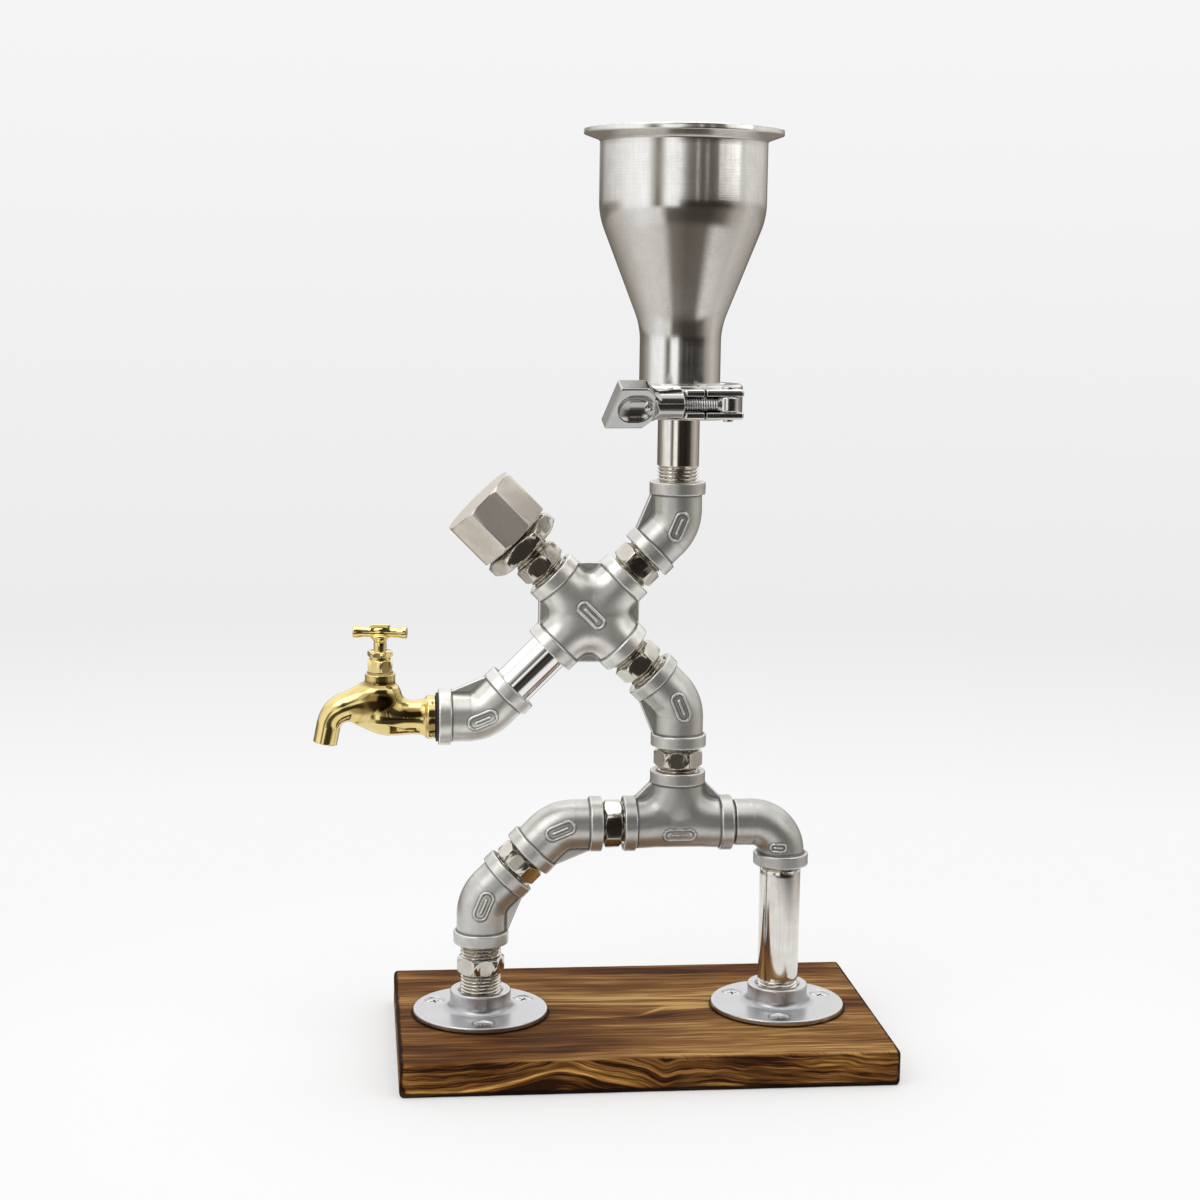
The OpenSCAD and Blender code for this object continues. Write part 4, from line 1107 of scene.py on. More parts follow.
    def _char_and_foot_shadow(self, place: Value) -> Value:
        """Mask of the burnt lower edges and ends, of slanted ticks on the front's rim and of a painted shadow ring
        round the feet.

        The distance to the nearest edge is the middle one of the distances to the three pairs of faces.

        Args:
            place: local coordinates in mm.

        Returns:
            The mask.
        """
        x, y, z = place.parts()
        a, b, c = self.half[0] - abs(x), self.half[1] - abs(y), self.half[2] - abs(z - self.half[2])
        edge = a.least(b).most(a.most(b).least(c))
        ragged = place.noise((0.05, 0.10, 0.22), 4.0) * 3.0
        width = ragged + z.smooth(0.0, 12.0, 2.1, -2.6) + x.smooth(-117.0, -124.0, 0.0, 0.9)
        end = a.most(b.least(c)) - ragged
        char_and_foot_shadow = (edge - width).smooth(-0.9, 1.0, 0.95, 0.0).most(end.smooth(-0.2, 0.9, 0.92, 0.0))
        slant = (y * 0.7 + x) * 0.16
        ticks = place.graph.value("TexNoise", {"W": slant, "Detail": 1.0}, noise_dimensions="1D")
        ticks = ticks.smooth(0.64, 0.70, 0.0, 0.55)
        for value, low, high in ((y, -69.5, -73.0), (z, 15.5, 17.6), (x, -8.0, 8.0)):
            ticks = ticks * value.smooth(low, high)
        char_and_foot_shadow = char_and_foot_shadow.most(ticks)
        # A dark ring just outside each flange's rim: painted contact shadow.
        for foot in self.feet:
            u = x - foot
            far = (u * u + y * y).maths("SQRT")
            char_and_foot_shadow = char_and_foot_shadow.most(far.smooth(self.foot_r + 1.8, self.foot_r + 0.4, 0.0, 0.85))
        return char_and_foot_shadow


# Pieces


@dataclass
class Shop:
    """Builds objects from surfaces, gives them their finish and ties them to the part."""

    effects: Effects = field(default_factory=Effects)
    finishes: dict[str, bpy.types.Material] = field(default_factory=dict)

    def finish(self, kind: Metal | Seal | ToastedPine) -> bpy.types.Material:
        """Material of a finish, built on first use.

        Args:
            kind: the finish.

        Returns:
            The material.
        """
        key = repr(kind)
        if key not in self.finishes:
            self.finishes[key] = kind.material(self.effects)
        return self.finishes[key]

    def add(self, name: str, surface: Surface, kind: Metal | Seal | ToastedPine, slot: Slot, nodes: Sequence[str],
            body: Body = Body.STAND, crease: float = 32.0) -> bpy.types.Object:
        """Makes a piece that stands for solids of the part.

        Args:
            name: the piece's name.
            surface: its surface in mm.
            kind: its finish.
            slot: not used.
            nodes: the solids that it replaces.
            body: the body that it moves with.
            crease: edges sharper than this many degrees stay sharp.

        Returns:
            The object.
        """
        made = make_object(name, surface, crease)
        made.data.materials.append(self.finish(kind))
        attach(made, body.value)
        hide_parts(*nodes)
        LOG.info("%s: %d faces for %s on %s", name, len(made.data.polygons), ", ".join(nodes), body.value)
        return made

    def dress(self, names: Sequence[str], kind: Metal | Seal) -> None:
        """Gives solids that stay as they are a better finish.

        Args:
            names: the solids.
            kind: their finish.
        """
        for name in names:
            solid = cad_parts[name]
            solid.data.materials.clear()
            solid.data.materials.append(self.finish(kind))
            LOG.info("%s: kept solid in %s", name, kind.name)


CAST_STEEL = Metal("cast_steel", (0.61, 0.602, 0.568), (0.12, 0.116, 0.106), (0.97, 0.97, 0.96), 0.33,
                   mottle=0.18, pebble=0.07, pebble_scale=1.6, edge=0.8, hollow=3.0, metallic=0.86)
# Lighter and darker copies of the cast steel: painted light and painted shade for castings that stand in more or less
# light.
PAINTED_LIT_CAST = CAST_STEEL.painted_light_copy("cast_steel_painted_lighter", 1.3)
PAINTED_SHADED_CAST = CAST_STEEL.painted_light_copy("cast_steel_painted_shade", 0.84)
FLANGE_STEEL = Metal("flange_steel", (0.55, 0.55, 0.560), (0.20, 0.20, 0.21), (0.92, 0.92, 0.93), 0.30, uneven=0.03,
                     mottle=0.06, edge=0.5, hollow=2.2)
NIPPLE_STEEL = Metal("nipple_steel", (0.58, 0.55, 0.485), (0.25, 0.215, 0.16), (0.92, 0.91, 0.88), 0.10, uneven=0.05,
                     mottle=0.2, rings=0.006, ring_scale=5.0, edge=0.35, hollow=0.9)
NICKEL = Metal("warm_nickel", (0.70, 0.65, 0.58), (0.40, 0.35, 0.29), (0.92, 0.90, 0.86), 0.36, uneven=0.10,
               mottle=0.26, pebble=0.040, pebble_scale=2.6, edge=0.45, streaks=0.14, metallic=0.84)
PIPE_STEEL = Metal("polished_pipe", (0.77, 0.755, 0.72), (0.50, 0.45, 0.38), (0.90, 0.90, 0.88), 0.075, uneven=0.05,
                   mottle=0.25, streaks=0.25, edge=0.2, hollow=0.8)
MIRROR_STEEL = Metal("mirror_pipe", (0.86, 0.86, 0.855), (0.72, 0.71, 0.69), (0.92, 0.92, 0.92), 0.035, uneven=0.02,
                     mottle=0.2, streaks=0.06, edge=0.2, hollow=0.8)
# The funnel's rays paint dark dashes of broken reflection on the rim's top.
FUNNEL_STEEL = Metal("turned_steel", (0.83, 0.82, 0.795), (0.40, 0.375, 0.335), (0.92, 0.92, 0.91), 0.13, uneven=0.05,
                     mottle=0.12, rings=0.008, ring_scale=3.5, streaks=0.10, edge=0.5, ring_tone=0.16, rays=0.8,
                     rays_from=133.9)
CLAMP_STEEL = Metal("polished_casting", (0.72, 0.715, 0.70), (0.30, 0.30, 0.29), (0.92, 0.92, 0.92), 0.11,
                    mottle=0.2, pebble=0.018, pebble_scale=0.9, edge=0.35, hollow=1.2)
# A darker copy of the polished casting for the wing nut: painted shade.
PAINTED_SHADED_CLAMP = CLAMP_STEEL.painted_light_copy("polished_casting_painted_shade", 0.68)
SCREW_STEEL = Metal("bright_screw", (0.66, 0.66, 0.66), (0.12, 0.12, 0.12), (0.93, 0.93, 0.93), 0.14,
                    mottle=0.1, edge=0.25, hollow=0.9)
BRASS = Metal("polished_brass", (0.84, 0.68, 0.285), (0.42, 0.24, 0.05), (0.97, 0.90, 0.58), 0.060, uneven=0.04,
              mottle=0.15, pebble=0.006, pebble_scale=0.5, edge=0.35, hollow=0.5)
# Brass of the tap body with dark-brown patches on the front of the belly, saddle and collar: a painted dark
# reflection; its darker shade also deepens the painted shade in its hollows.
PAINTED_REFLECTION_BRASS = replace(BRASS, name="brass_painted_dark_reflection", shade=(0.17, 0.085, 0.018), painted_reflections=(
    ((29.0, 9.6), (10.0, 6.2), 0.92), ((14.5, 3.4), (10.0, 3.0), 0.85), ((3.4, -3.6), (3.0, 4.4), 0.75),
    ((39.5, 5.6), (6.5, 3.0), 0.75), ((29.5, 18.2), (11.0, 1.7), 0.75)))
RUBBER = Seal("black_rubber", (0.012, 0.012, 0.012), (0.035, 0.035, 0.034), 0.55)
FIBRE = Seal("tan_fibre", (0.46, 0.31, 0.12), (0.58, 0.42, 0.20), 0.6)


@dataclass(frozen=True)
class Figure:
    """Layout of the figure: its joints as x and z, and the sizes that its pieces share."""

    board_top: float = 18.0
    hub_top: float = 31.0
    shin: Place = (-81.3, 78.4)
    thigh: Place = (-41.702, 117.998)
    hip: Place = (20.298, 117.998)
    street: Place = (75.698, 117.998)
    waist: Place = (20.298, 181.598)
    chest: Place = (-27.290, 229.186)
    upper: Place = (17.470, 273.946)
    wrist: Place = (-81.455, 175.022)
    collar: Place = (17.470, 337.546)
    elbow_reach: float = 22.4
    tee_reach: float = 28.4
    thread_r: float = 10.45
    grip: float = 12.0
    hub_grip: float = 10.5
    pitch: float = 1.814
    thread_depth: float = 0.95
    thread_over: float = 0.08
    thread_end: float = 0.9
    socket_r: float = 10.55
    socket_depth: float = 13.0
    street_reach: float = 22.6
    neck_gap: float = 16.1
    pipe_r: float = 10.65
    pipe_bore_r: float = 7.9

    def tail(self, angle: Array, end: float, root: float, bore: float) -> Rows:
        """Rows of a threaded tail in order of height.

        Args:
            angle: angles of the columns.
            end: height of its flat end, below or above the root.
            root: height where the thread stops.
            bore: radius of the bore.

        Returns:
            The rows, which start or stop on the bore.
        """
        low, high = sorted((end + math.copysign(self.thread_end, root - end), root))
        thread = Rows.thread(low, high, self.thread_r + self.thread_over, self.thread_depth, self.pitch, angle)
        flat = (end, bore), (end, self.thread_r - self.thread_end)
        return Rows.rings(angle, *flat) + thread if end < root else thread + Rows.rings(angle, *flat[::-1])


@dataclass
class Board:
    """The wooden board: a rounded rectangle carried along X, a little worn and uneven."""

    figure: Figure
    width: float = 250.0
    depth: float = 150.0
    corner: float = 3.0
    edge: float = 2.0
    worn: float = 0.16

    def surface(self) -> Surface:
        """Section (y, z) of a rounded rectangle over x; it draws in towards the two ends.

        Near an end at distance e the section shrinks by r - sqrt(r^2 - (r - e)^2), and the
        end face is the section scaled down to its middle line.

        Returns:
            The closed surface, with local coordinates in the part's frame.
        """
        half = self.width / 2
        into = self.edge * (1 - np.cos(np.linspace(0, math.pi / 2, 9)))
        x = np.linspace(-half + self.edge, half - self.edge, 126)
        x = np.concatenate([-half + into[:-1], x, half - into[-2::-1]])
        face = np.linspace(0, 1, 13)[:-1]
        x = np.concatenate([np.full(len(face), -half), x, np.full(len(face), half)])
        scale = np.concatenate([face, np.ones(len(x) - 2 * len(face)), face[::-1]])
        off = half - np.abs(x)
        pull = self.edge - np.sqrt(np.maximum(self.edge ** 2 - np.maximum(self.edge - off, 0) ** 2, 0))
        draw = self.corner - np.sqrt(np.maximum(self.corner ** 2 - np.maximum(self.corner - off, 0) ** 2, 0))
        deep, thick = self.depth / 2, self.figure.board_top
        section = dense(rounded([(y, z, self.edge) for y, z in (
            (-deep, 0), (deep, 0), (deep, thick), (-deep, thick))]), 2.0)
        y = np.sign(section[:, 0]) * np.maximum(np.abs(section[:, 0])[None] - draw[:, None], 0)
        z = section[None, :, 1] - thick / 2
        z = np.sign(z) * np.maximum(np.abs(z) - pull[:, None], 0)
        y, z = y * scale[:, None], z * scale[:, None] + thick / 2
        wide = np.broadcast_to(x[:, None], y.shape)
        points = np.stack([wide, y, z], -1)
        rim = np.clip((np.abs(y) - deep + 6) / 6, 0, 1) * scale[:, None]
        waves = np.sin(wide * 0.071 + 1.3) + np.sin(wide * 0.19 + y * 0.3) + np.sin(wide * 0.43 + 2.1)
        dip = self.worn * rim * waves / 3
        points[..., 1] -= np.sign(y) * (self.worn + dip)
        flat = points.reshape(-1, 3)
        return closed_up(flat, grid_faces(*y.shape, False), flat)

    def build(self, shop: Shop) -> None:
        """Adds the board."""
        shop.add("board_wood", self.surface(), ToastedPine(), Slot.WOOD, ["base_board"], crease=40.0)


@dataclass
class Feet:
    """The two foot flanges and their countersunk cross-head screws."""

    figure: Figure
    radius: float = 35.0
    plate: float = 3.0
    hub_r: float = 15.75
    hub_h: float = 13.0
    fillet: float = 4.0
    circle_r: float = 27.0
    head_r: float = 4.6
    shank_r: float = 2.0
    length: float = 16.0
    sunk: float = 1.0
    right_turn: float = -8.0
    screw_turns: Point = (17.0, 58.0, 99.0)

    def _spots(self) -> Array:
        """Middles of the three screws of a flange at the origin."""
        angle = np.radians(np.arange(3) * 120.0 - 90.0)
        return self.circle_r * np.stack([np.cos(angle), np.sin(angle)], -1)

    def flange_field(self, p: Array) -> Array:
        """Plate and hub with a fillet between them, less the threaded bore and the screw holes.

        Args:
            p: points, ... x 3.

        Returns:
            Distances, negative inside.
        """
        up = p[..., 2]
        made = soft_min(self.fillet, rod(p, (0, 0, 0), (0, 0, self.plate), self.radius, 0.7),
                        rod(p, (0, 0, 0), (0, 0, self.hub_h), self.hub_r, 0.8))
        made = np.maximum(made, -up)
        reach = np.hypot(p[..., 0], p[..., 1])
        bore = np.maximum(self.figure.socket_r, self.figure.socket_r + up - self.hub_h + 1.6)
        made = soft_max(0.4, made, (bore - reach) * 0.8)
        for x, y in self._spots():
            away = np.hypot(p[..., 0] - x, p[..., 1] - y)
            sink = np.maximum(self.shank_r + 0.15, self.head_r + self.sunk + np.minimum(up - self.plate, 0.3))
            made = soft_max(0.25, made, (sink - away) * 0.75)
        return made

    def screw_field(self, p: Array) -> Array:
        """Countersunk head on a tapering shank, with a cross recess; the head's top is z = 0.

        Args:
            p: points, ... x 3.

        Returns:
            Distances, negative inside.
        """
        up = p[..., 2]
        away = np.hypot(p[..., 0], p[..., 1])
        cone = (away - (self.head_r + np.minimum(up, 0))) * 0.7071
        head = soft_max(0.25, cone, up, -up - self.head_r + self.shank_r)
        taper = np.minimum(self.shank_r, (up + self.length) * 0.5 + 0.2)
        shank = np.maximum(away - taper, np.maximum(up + 1, -up - self.length))
        made = soft_min(0.2, head, shank * 0.9)
        depth = 1.9 - 0.35 * away
        for a, b in ((0, 1), (1, 0)):
            slot = np.maximum(np.abs(p[..., a]) - 0.48, np.abs(p[..., b]) - 2.5)
            made = soft_max(0.15, made, -np.maximum(slot, -up - depth))
        return made

    def build(self, shop: Shop) -> None:
        """Adds both flanges and all screws.

        Args:
            shop: makes the objects.
        """
        r = self.radius + 1.2
        flange = skin(self.flange_field, (-r, -r, -1.2), (r, r, self.hub_h + 1.2), 0.6)
        screw = skin(self.screw_field, (-5.2, -5.2, -self.length - 0.6), (5.2, 5.2, 0.8), 0.22)
        screws: list[Surface] = []
        f = self.figure
        for side, x, turn in (("left", f.shin[0], 0.0), ("right", f.street[0], self.right_turn)):
            matrix = turn_about(2, turn)
            shop.add(f"{side}_foot_flange", flange.moved(matrix, (x, 0, f.board_top)), FLANGE_STEEL, Slot.FLANGE,
                     [f"{side}_flange"])
            for spot, own in zip(self._spots(), self.screw_turns):
                place = np.array([*spot, f.board_top + self.plate - self.sunk]) @ matrix.T + (x, 0, 0)
                screws.append(screw.moved(turn_about(2, own + turn), place))
        shop.add("foot_screws", joined(screws), SCREW_STEEL, Slot.SCREW, ["flange_screws"])


def joined(surfaces: Sequence[Surface]) -> Surface:
    """Several closed surfaces as one.

    Args:
        surfaces: all with normals or all without.

    Returns:
        The one surface.
    """
    shift = np.cumsum([0] + [len(s.points) for s in surfaces[:-1]])
    normals = None if surfaces[0].normals is None else np.concatenate([s.normals for s in surfaces])
    return Surface(np.concatenate([s.points for s in surfaces]),
                   np.concatenate([s.faces + n for s, n in zip(surfaces, shift)]),
                   np.concatenate([s.local for s in surfaces]), normals)


@dataclass
class Castings:
    """Elbows, tee, cross and street elbow: banded mouths on blended bodies with corner webs."""

    figure: Figure
    band_r: float = 14.3
    band_w: float = 6.5
    body_r: float = 12.6
    elbow_bend: float = 18.0
    web: float = 5.0
    street_r: float = 12.0
    street_bend: float = 16.0
    street_neck: float = 25.5
    street_gap: float = 1.5
    mark: float = 0.5

    @staticmethod
    def _ray(angle: float, reach: float) -> Point:
        """Point at a distance along a heading in the upright plane."""
        c, s = aim(angle)
        return reach * c, 0.0, reach * s

    def _bands(self, p: Array, mouths: Sequence[float], reach: float, made: Array) -> Array:
        """Adds a band round each mouth, with a narrow fillet against the body.

        Args:
            p: points, ... x 3.
            mouths: their headings in degrees.
            reach: how far they lie from the middle.
            made: distances so far.

        Returns:
            Distances, negative inside.
        """
        for angle in mouths:
            band = rod(p, self._ray(angle, reach - self.band_w), self._ray(angle, reach), self.band_r, 0.75)
            made = soft_min(0.6, made, band)
        return made

    def _sockets(self, p: Array, mouths: Sequence[float], reach: float, made: Array) -> Array:
        """Cuts a threaded socket with a countersunk lip into each mouth.

        Args:
            p: points, ... x 3.
            mouths: their headings in degrees.
            reach: how far they lie from the middle.
            made: distances so far.

        Returns:
            Distances, negative inside.
        """
        for angle in mouths:
            way = np.asarray(self._ray(angle, 1.0), np.float32)
            along = p @ way
            across = np.sqrt(np.maximum((p ** 2).sum(-1) - along ** 2, 0))
            wide = np.maximum(self.figure.socket_r, self.figure.socket_r + along - reach + 0.9)
            hole = np.maximum(across - wide, reach - self.figure.socket_depth - along)
            made = soft_max(0.35, made, -hole)
        return made

    def _web(self, p: Array, first: float, last: float, reach: float) -> Array:
        """Flat plate in the corner between two headings, cut straight from band to band.

        Args:
            p: points, ... x 3.
            first: one heading in degrees.
            last: the other one.
            reach: how far the mouths lie from the middle.

        Returns:
            Distances, negative inside.
        """
        c, s = aim((last - first) / 2)
        middle = (first + last) / 2
        out = p @ np.asarray(self._ray(middle, 1.0), np.float32)
        side = np.abs(p @ np.asarray(self._ray(middle + 90, 1.0), np.float32))
        tip = reach - self.band_w + 1.0
        edge = tip * c + (self.band_r - 0.8) * s
        limit = out * c + side * s - tip
        flank = side * c - out * s
        return soft_max(0.8, np.abs(p[..., 1]) - self.web / 2, out - edge, np.maximum(limit, flank))

    def _bend(self, p: Array, first: float, turn: float, radius: float, thick: float) -> Array:
        """Bent bar that leads from the heading first to the heading first + 180 - turn.

        Args:
            p: points, ... x 3.
            first: heading of one end in degrees.
            turn: angle of the bend.
            radius: radius of its centre line.
            thick: radius of the bar.

        Returns:
            Distances, negative inside.
        """
        middle = first + (180 - turn) / 2
        far = radius / math.cos(math.radians(turn / 2))
        centre = self._ray(middle, far)
        return arc(p, (centre[0], centre[2]), radius, middle + 180, turn / 2, thick)

    def _lozenge(self, p: Array, made: Array, spot: Place, heading: float, size: Place) -> Array:
        """Raises a blank oblong frame with a bar in it on the front: the skin moved out by mark.

        Args:
            p: points, ... x 3.
            made: distances so far.
            spot: x and z of its middle.
            heading: of its length, in degrees.
            size: half its length and half its width.

        Returns:
            Distances, negative inside.
        """
        c, s = aim(heading)
        u = (p[..., 0] - spot[0]) * c + (p[..., 2] - spot[1]) * s
        v = (p[..., 2] - spot[1]) * c - (p[..., 0] - spot[0]) * s
        outline = pair(np.abs(u) - size[0], np.abs(v) - size[1], size[1] * 0.95)
        line = np.minimum(np.abs(outline) - 0.45, pair(np.abs(u) - size[0] * 0.55, np.abs(v) - 0.45, 0.4))
        raised = soft_max(0.5, made - self.mark, line, p[..., 1] + 2.0)
        return soft_min(0.45, made, raised)

    def elbow_field(self, p: Array) -> Array:
        """Eighth bend between the headings 0 and 135 degrees.

        Args:
            p: points, ... x 3.

        Returns:
            Distances, negative inside.
        """
        reach = self.figure.elbow_reach
        neck = self.elbow_bend * math.tan(math.radians(22.5))
        necks = (rod(p, self._ray(a, neck - 1), self._ray(a, reach - 1), self.body_r, 0.3) for a in (0, 135))
        made = soft_min(0.2, self._bend(p, 0, 45, self.elbow_bend, self.body_r), *necks)
        made = soft_min(1.0, made, self._web(p, 0, 135, reach))
        spot = self._ray(67.5, 0.6)
        made = self._lozenge(p, made, (spot[0], spot[2]), 67.5 + 90, (7.4, 3.3))
        made = self._bands(p, (0, 135), reach, made)
        return self._sockets(p, (0, 135), reach, made)

    def junction_field(self, p: Array, mouths: Sequence[float], corners: Sequence[float], spot: Place,
                       heading: float) -> Array:
        """Tee or cross: a bar to each mouth, and a swept blend and a web in each square corner.

        Args:
            p: points, ... x 3.
            mouths: headings of the mouths in degrees.
            corners: first headings of the corners.
            spot: x and z of the mark.
            heading: heading of the mark.

        Returns:
            Distances, negative inside.
        """
        reach = self.figure.tee_reach
        corner = reach - self.band_w
        made = soft_min(0.8, *(rod(p, (0, 0, 0), self._ray(a, reach - 1), self.body_r, 0.5) for a in mouths))
        made = soft_min(2.5, made, *(self._bend(p, a, 90, corner, self.body_r - 0.4) for a in corners))
        made = soft_min(1.6, made, *(self._web(p, a, a + 90, reach) for a in corners))
        made = self._lozenge(p, made, spot, heading, (8.0, 2.9))
        made = self._bands(p, mouths, reach, made)
        return self._sockets(p, mouths, reach, made)

    def street_field(self, p: Array) -> Array:
        """Street elbow: spigot along heading 180, socket along heading 270.

        Args:
            p: points, ... x 3.

        Returns:
            Distances, negative inside.
        """
        tip = self.street_neck + self.street_gap + self.figure.grip
        side, down = self._ray(180, self.street_bend), self._ray(270, self.street_bend)
        made = self._bend(p, 180, 90, self.street_bend, self.street_r)
        made = soft_min(0.5, made, rod(p, side, self._ray(180, self.street_neck), self.street_r, 0.6),
                        rod(p, down, self._ray(270, self.figure.street_reach - 1), self.street_r, 0.3))
        made = np.minimum(made, rod(p, side, self._ray(180, tip), self.figure.thread_r, 0.8))
        made = self._lozenge(p, made, (-3.5, -11.5), 0, (4.0, 2.0))
        made = self._bands(p, (270,), self.figure.street_reach, made)
        return self._sockets(p, (270,), self.figure.street_reach, made)

    def build(self, shop: Shop) -> None:
        """Adds all castings.

        Args:
            shop: makes the objects.
        """
        f, far, all_round = self.figure, self.figure.tee_reach + 1.2, (0, 90, 180, 270)
        elbow = skin(self.elbow_field, (-26.5, -15.2, -15.2), (23.5, 15.2, 27.0), 0.5)
        tee = skin(lambda p: self.junction_field(p, (0, 90, 180), (0, 90), (0, -4.0), 0), (-far, -15.4, -14.2),
                   (far, 15.4, far), 0.55)
        cross = skin(lambda p: self.junction_field(p, all_round, all_round, (0, 0), -90), (-far, -15.4, -far),
                     (far, 15.4, far), 0.58)
        street = skin(self.street_field, (-41.5, -15.2, -24.0), (15.2, 15.2, 14.0), 0.5)
        # The wrist elbow and the cross take the painted lighter copy, the tee and the street elbow the painted darker
        # one.
        for name, casting, joint, heading, kind in (
                ("shin_elbow", elbow, f.shin, -90.0, CAST_STEEL), ("thigh_elbow", elbow, f.thigh, 225.0, CAST_STEEL),
                ("waist_elbow", elbow, f.waist, 135.0, CAST_STEEL), ("upper_elbow", elbow, f.upper, 90.0, CAST_STEEL),
                ("wrist_elbow", elbow, f.wrist, 45.0, PAINTED_LIT_CAST), ("hip_tee", tee, f.hip, 0.0, PAINTED_SHADED_CAST),
                ("body_cross", cross, f.chest, 45.0, PAINTED_LIT_CAST), ("street_elbow", street, f.street, 0.0, PAINTED_SHADED_CAST)):
            made = casting.moved(turn_about(1, -heading), (joint[0], 0, joint[1]))
            shop.add(f"{name}_casting", made, kind, Slot.CAST, [name])


@dataclass
class Pipes:
    """Hexagon nipples and plain pipes, with their threads cut where they show."""

    figure: Figure
    hex_flats: float = 22.0
    hex_l: float = 9.0
    bore_r: float = 7.5
    relief: float = 0.6
    arm_gap: float = 25.8

    def nipple(self, axis: Axis, gap: float, hex_at: float, turn: float, grip: float) -> Surface:
        """Hexagon with a threaded tail on either side and a bore.

        Args:
            axis: axis from one mouth towards the other, with its origin on the first mouth.
            gap: distance between the mouths.
            hex_at: where the hexagon starts.
            turn: turn of the hexagon.
            grip: depth of the first tail in its socket.

        Returns:
            The closed surface.
        """
        f, prism, hex_end = self.figure, Prism(6, self.hex_flats, turn), hex_at + self.hex_l
        angle = prism.angles()
        rows = f.tail(angle, -grip, hex_at, self.bore_r) + prism.block(angle, hex_at, hex_end)
        return axis.surface(angle, rows + f.tail(angle, gap + f.grip, hex_end, self.bore_r))

    def pipe(self, axis: Axis, gap: float, grips: Place, shows: Place) -> Surface:
        """Plain pipe with a threaded tail at each end, part of which may show.

        Args:
            axis: axis from one mouth towards the other.
            gap: distance between the mouths.
            grips: depths of the tails in their sockets.
            shows: lengths of thread that show.

        Returns:
            The closed surface.
        """
        f, angle, low, high = self.figure, full_turn(96), shows[0], gap - shows[1]
        rows = f.tail(angle, -grips[0], low - self.relief, f.pipe_bore_r)
        rows += Rows.rings(angle, *((height, f.pipe_r) for height in np.linspace(low, high, 24)))
        return axis.surface(angle, rows + f.tail(angle, gap + grips[1], high + self.relief, f.pipe_bore_r))

    def build(self, shop: Shop) -> None:
        """Adds the nipples, the leg pipe and the arm pipe.

        Args:
            shop: makes the objects.
        """
        f = self.figure
        foot = (f.shin[0], f.hub_top)
        nipples = (
            ("ankle", foot, 90.0, 0.0, 25.0, 9.0, 40.0, f.hub_grip),
            ("knee", f.shin, 45.0, f.elbow_reach, 11.2, 1.1, 12.0, f.grip),
            ("hip", f.thigh, 0.0, f.elbow_reach, 11.2, 1.1, 26.0, f.grip),
            ("waist", f.hip, 90.0, f.tee_reach, 12.8, 1.9, 20.0, f.grip),
            ("chest", f.waist, 135.0, f.elbow_reach, 16.5, 3.75, 26.0, f.grip),
            ("neck", f.chest, 135.0, f.tee_reach, f.neck_gap, 3.0, 22.0, f.grip),
            ("shoulder", f.chest, 45.0, f.tee_reach, 12.5, 1.75, 28.0, f.grip),
        )
        for name, joint, heading, start, gap, hex_at, turn, grip in nipples:
            made = self.nipple(run_axis(joint, heading, start), gap, hex_at, turn, grip)
            shop.add(f"{name}_nipple_steel", made, NIPPLE_STEEL, Slot.NIPPLE, [f"{name}_nipple"])
        leg_gap = f.street[1] - f.street_reach - f.hub_top
        leg = self.pipe(run_axis((f.street[0], f.hub_top), 90.0, 0.0), leg_gap, (f.hub_grip, f.grip), (3.0, 3.0))
        shop.add("leg_pipe_steel", leg, PIPE_STEEL, Slot.PIPE, ["leg_pipe"])
        arm = self.pipe(run_axis(f.chest, 225.0, f.tee_reach), self.arm_gap, (f.grip, f.grip), (0.0, 0.0))
        shop.add("arm_pipe_steel", arm, MIRROR_STEEL, Slot.PIPE, ["arm_pipe"])


@dataclass
class Head:
    """The figure's head: a hexagon bushing and an octagonal cap."""

    figure: Figure
    bushing_flats: float = 36.4
    bushing_hex: float = 8.6
    bushing_gap: float = 1.5
    bushing_r: float = 16.6
    bushing_turn: float = 26.0
    pitch: float = 2.309
    thread_depth: float = 1.2
    cap_flats: float = 40.0
    cap_l: float = 26.0
    cap_end: float = 6.0
    cap_turn: float = 5.0
    cap_bevel: float = 1.2

    def bushing(self) -> Surface:
        """Chamfered hexagon with a threaded tail, bored for the nipple.

        Returns:
            The closed surface.
        """
        f = self.figure
        prism = Prism(6, self.bushing_flats, self.bushing_turn, 0.6)
        angle = prism.angles()
        top = self.bushing_hex + self.bushing_gap + f.grip
        rows = Rows.rings(angle, (0.0, f.socket_r)) + prism.block(angle, 0.0, self.bushing_hex)
        rows += Rows.thread(self.bushing_hex, top, self.bushing_r, self.thread_depth, self.pitch, angle)
        axis = run_axis(f.chest, 135.0, f.tee_reach + f.neck_gap)
        return axis.surface(angle, rows + Rows.rings(angle, (top, f.socket_r)))

    def cap(self) -> Surface:
        """Octagon with bevelled ends, closed at the top and bored from below.

        Returns:
            The closed surface.
        """
        f = self.figure
        prism = Prism(8, self.cap_flats, self.cap_turn, 0.5)
        angle = prism.angles(10)
        flat = self.cap_flats / 2 / math.cos(math.pi / 8) - self.cap_bevel
        inner = self.bushing_r + 0.1
        floor = self.cap_l - self.cap_end
        rows = Rows.rings(angle, (floor, 0.0), (floor, inner), (0.0, inner))
        rows += prism.block(angle, 0.0, self.cap_l, flat, 1.0)
        rows += Rows.rings(angle, *((self.cap_l, flat * share) for share in (0.66, 0.33, 0.0)))
        axis = run_axis(f.chest, 135.0, f.tee_reach + f.neck_gap + self.bushing_hex + self.bushing_gap)
        return axis.surface(angle, rows, False)

    def build(self, shop: Shop) -> None:
        """Adds bushing and cap."""
        shop.add("head_bushing_nickel", self.bushing(), NIPPLE_STEEL, Slot.NICKEL, ["head_bushing"])
        shop.add("head_cap_nickel", self.cap(), NICKEL, Slot.NICKEL, ["head_cap"])


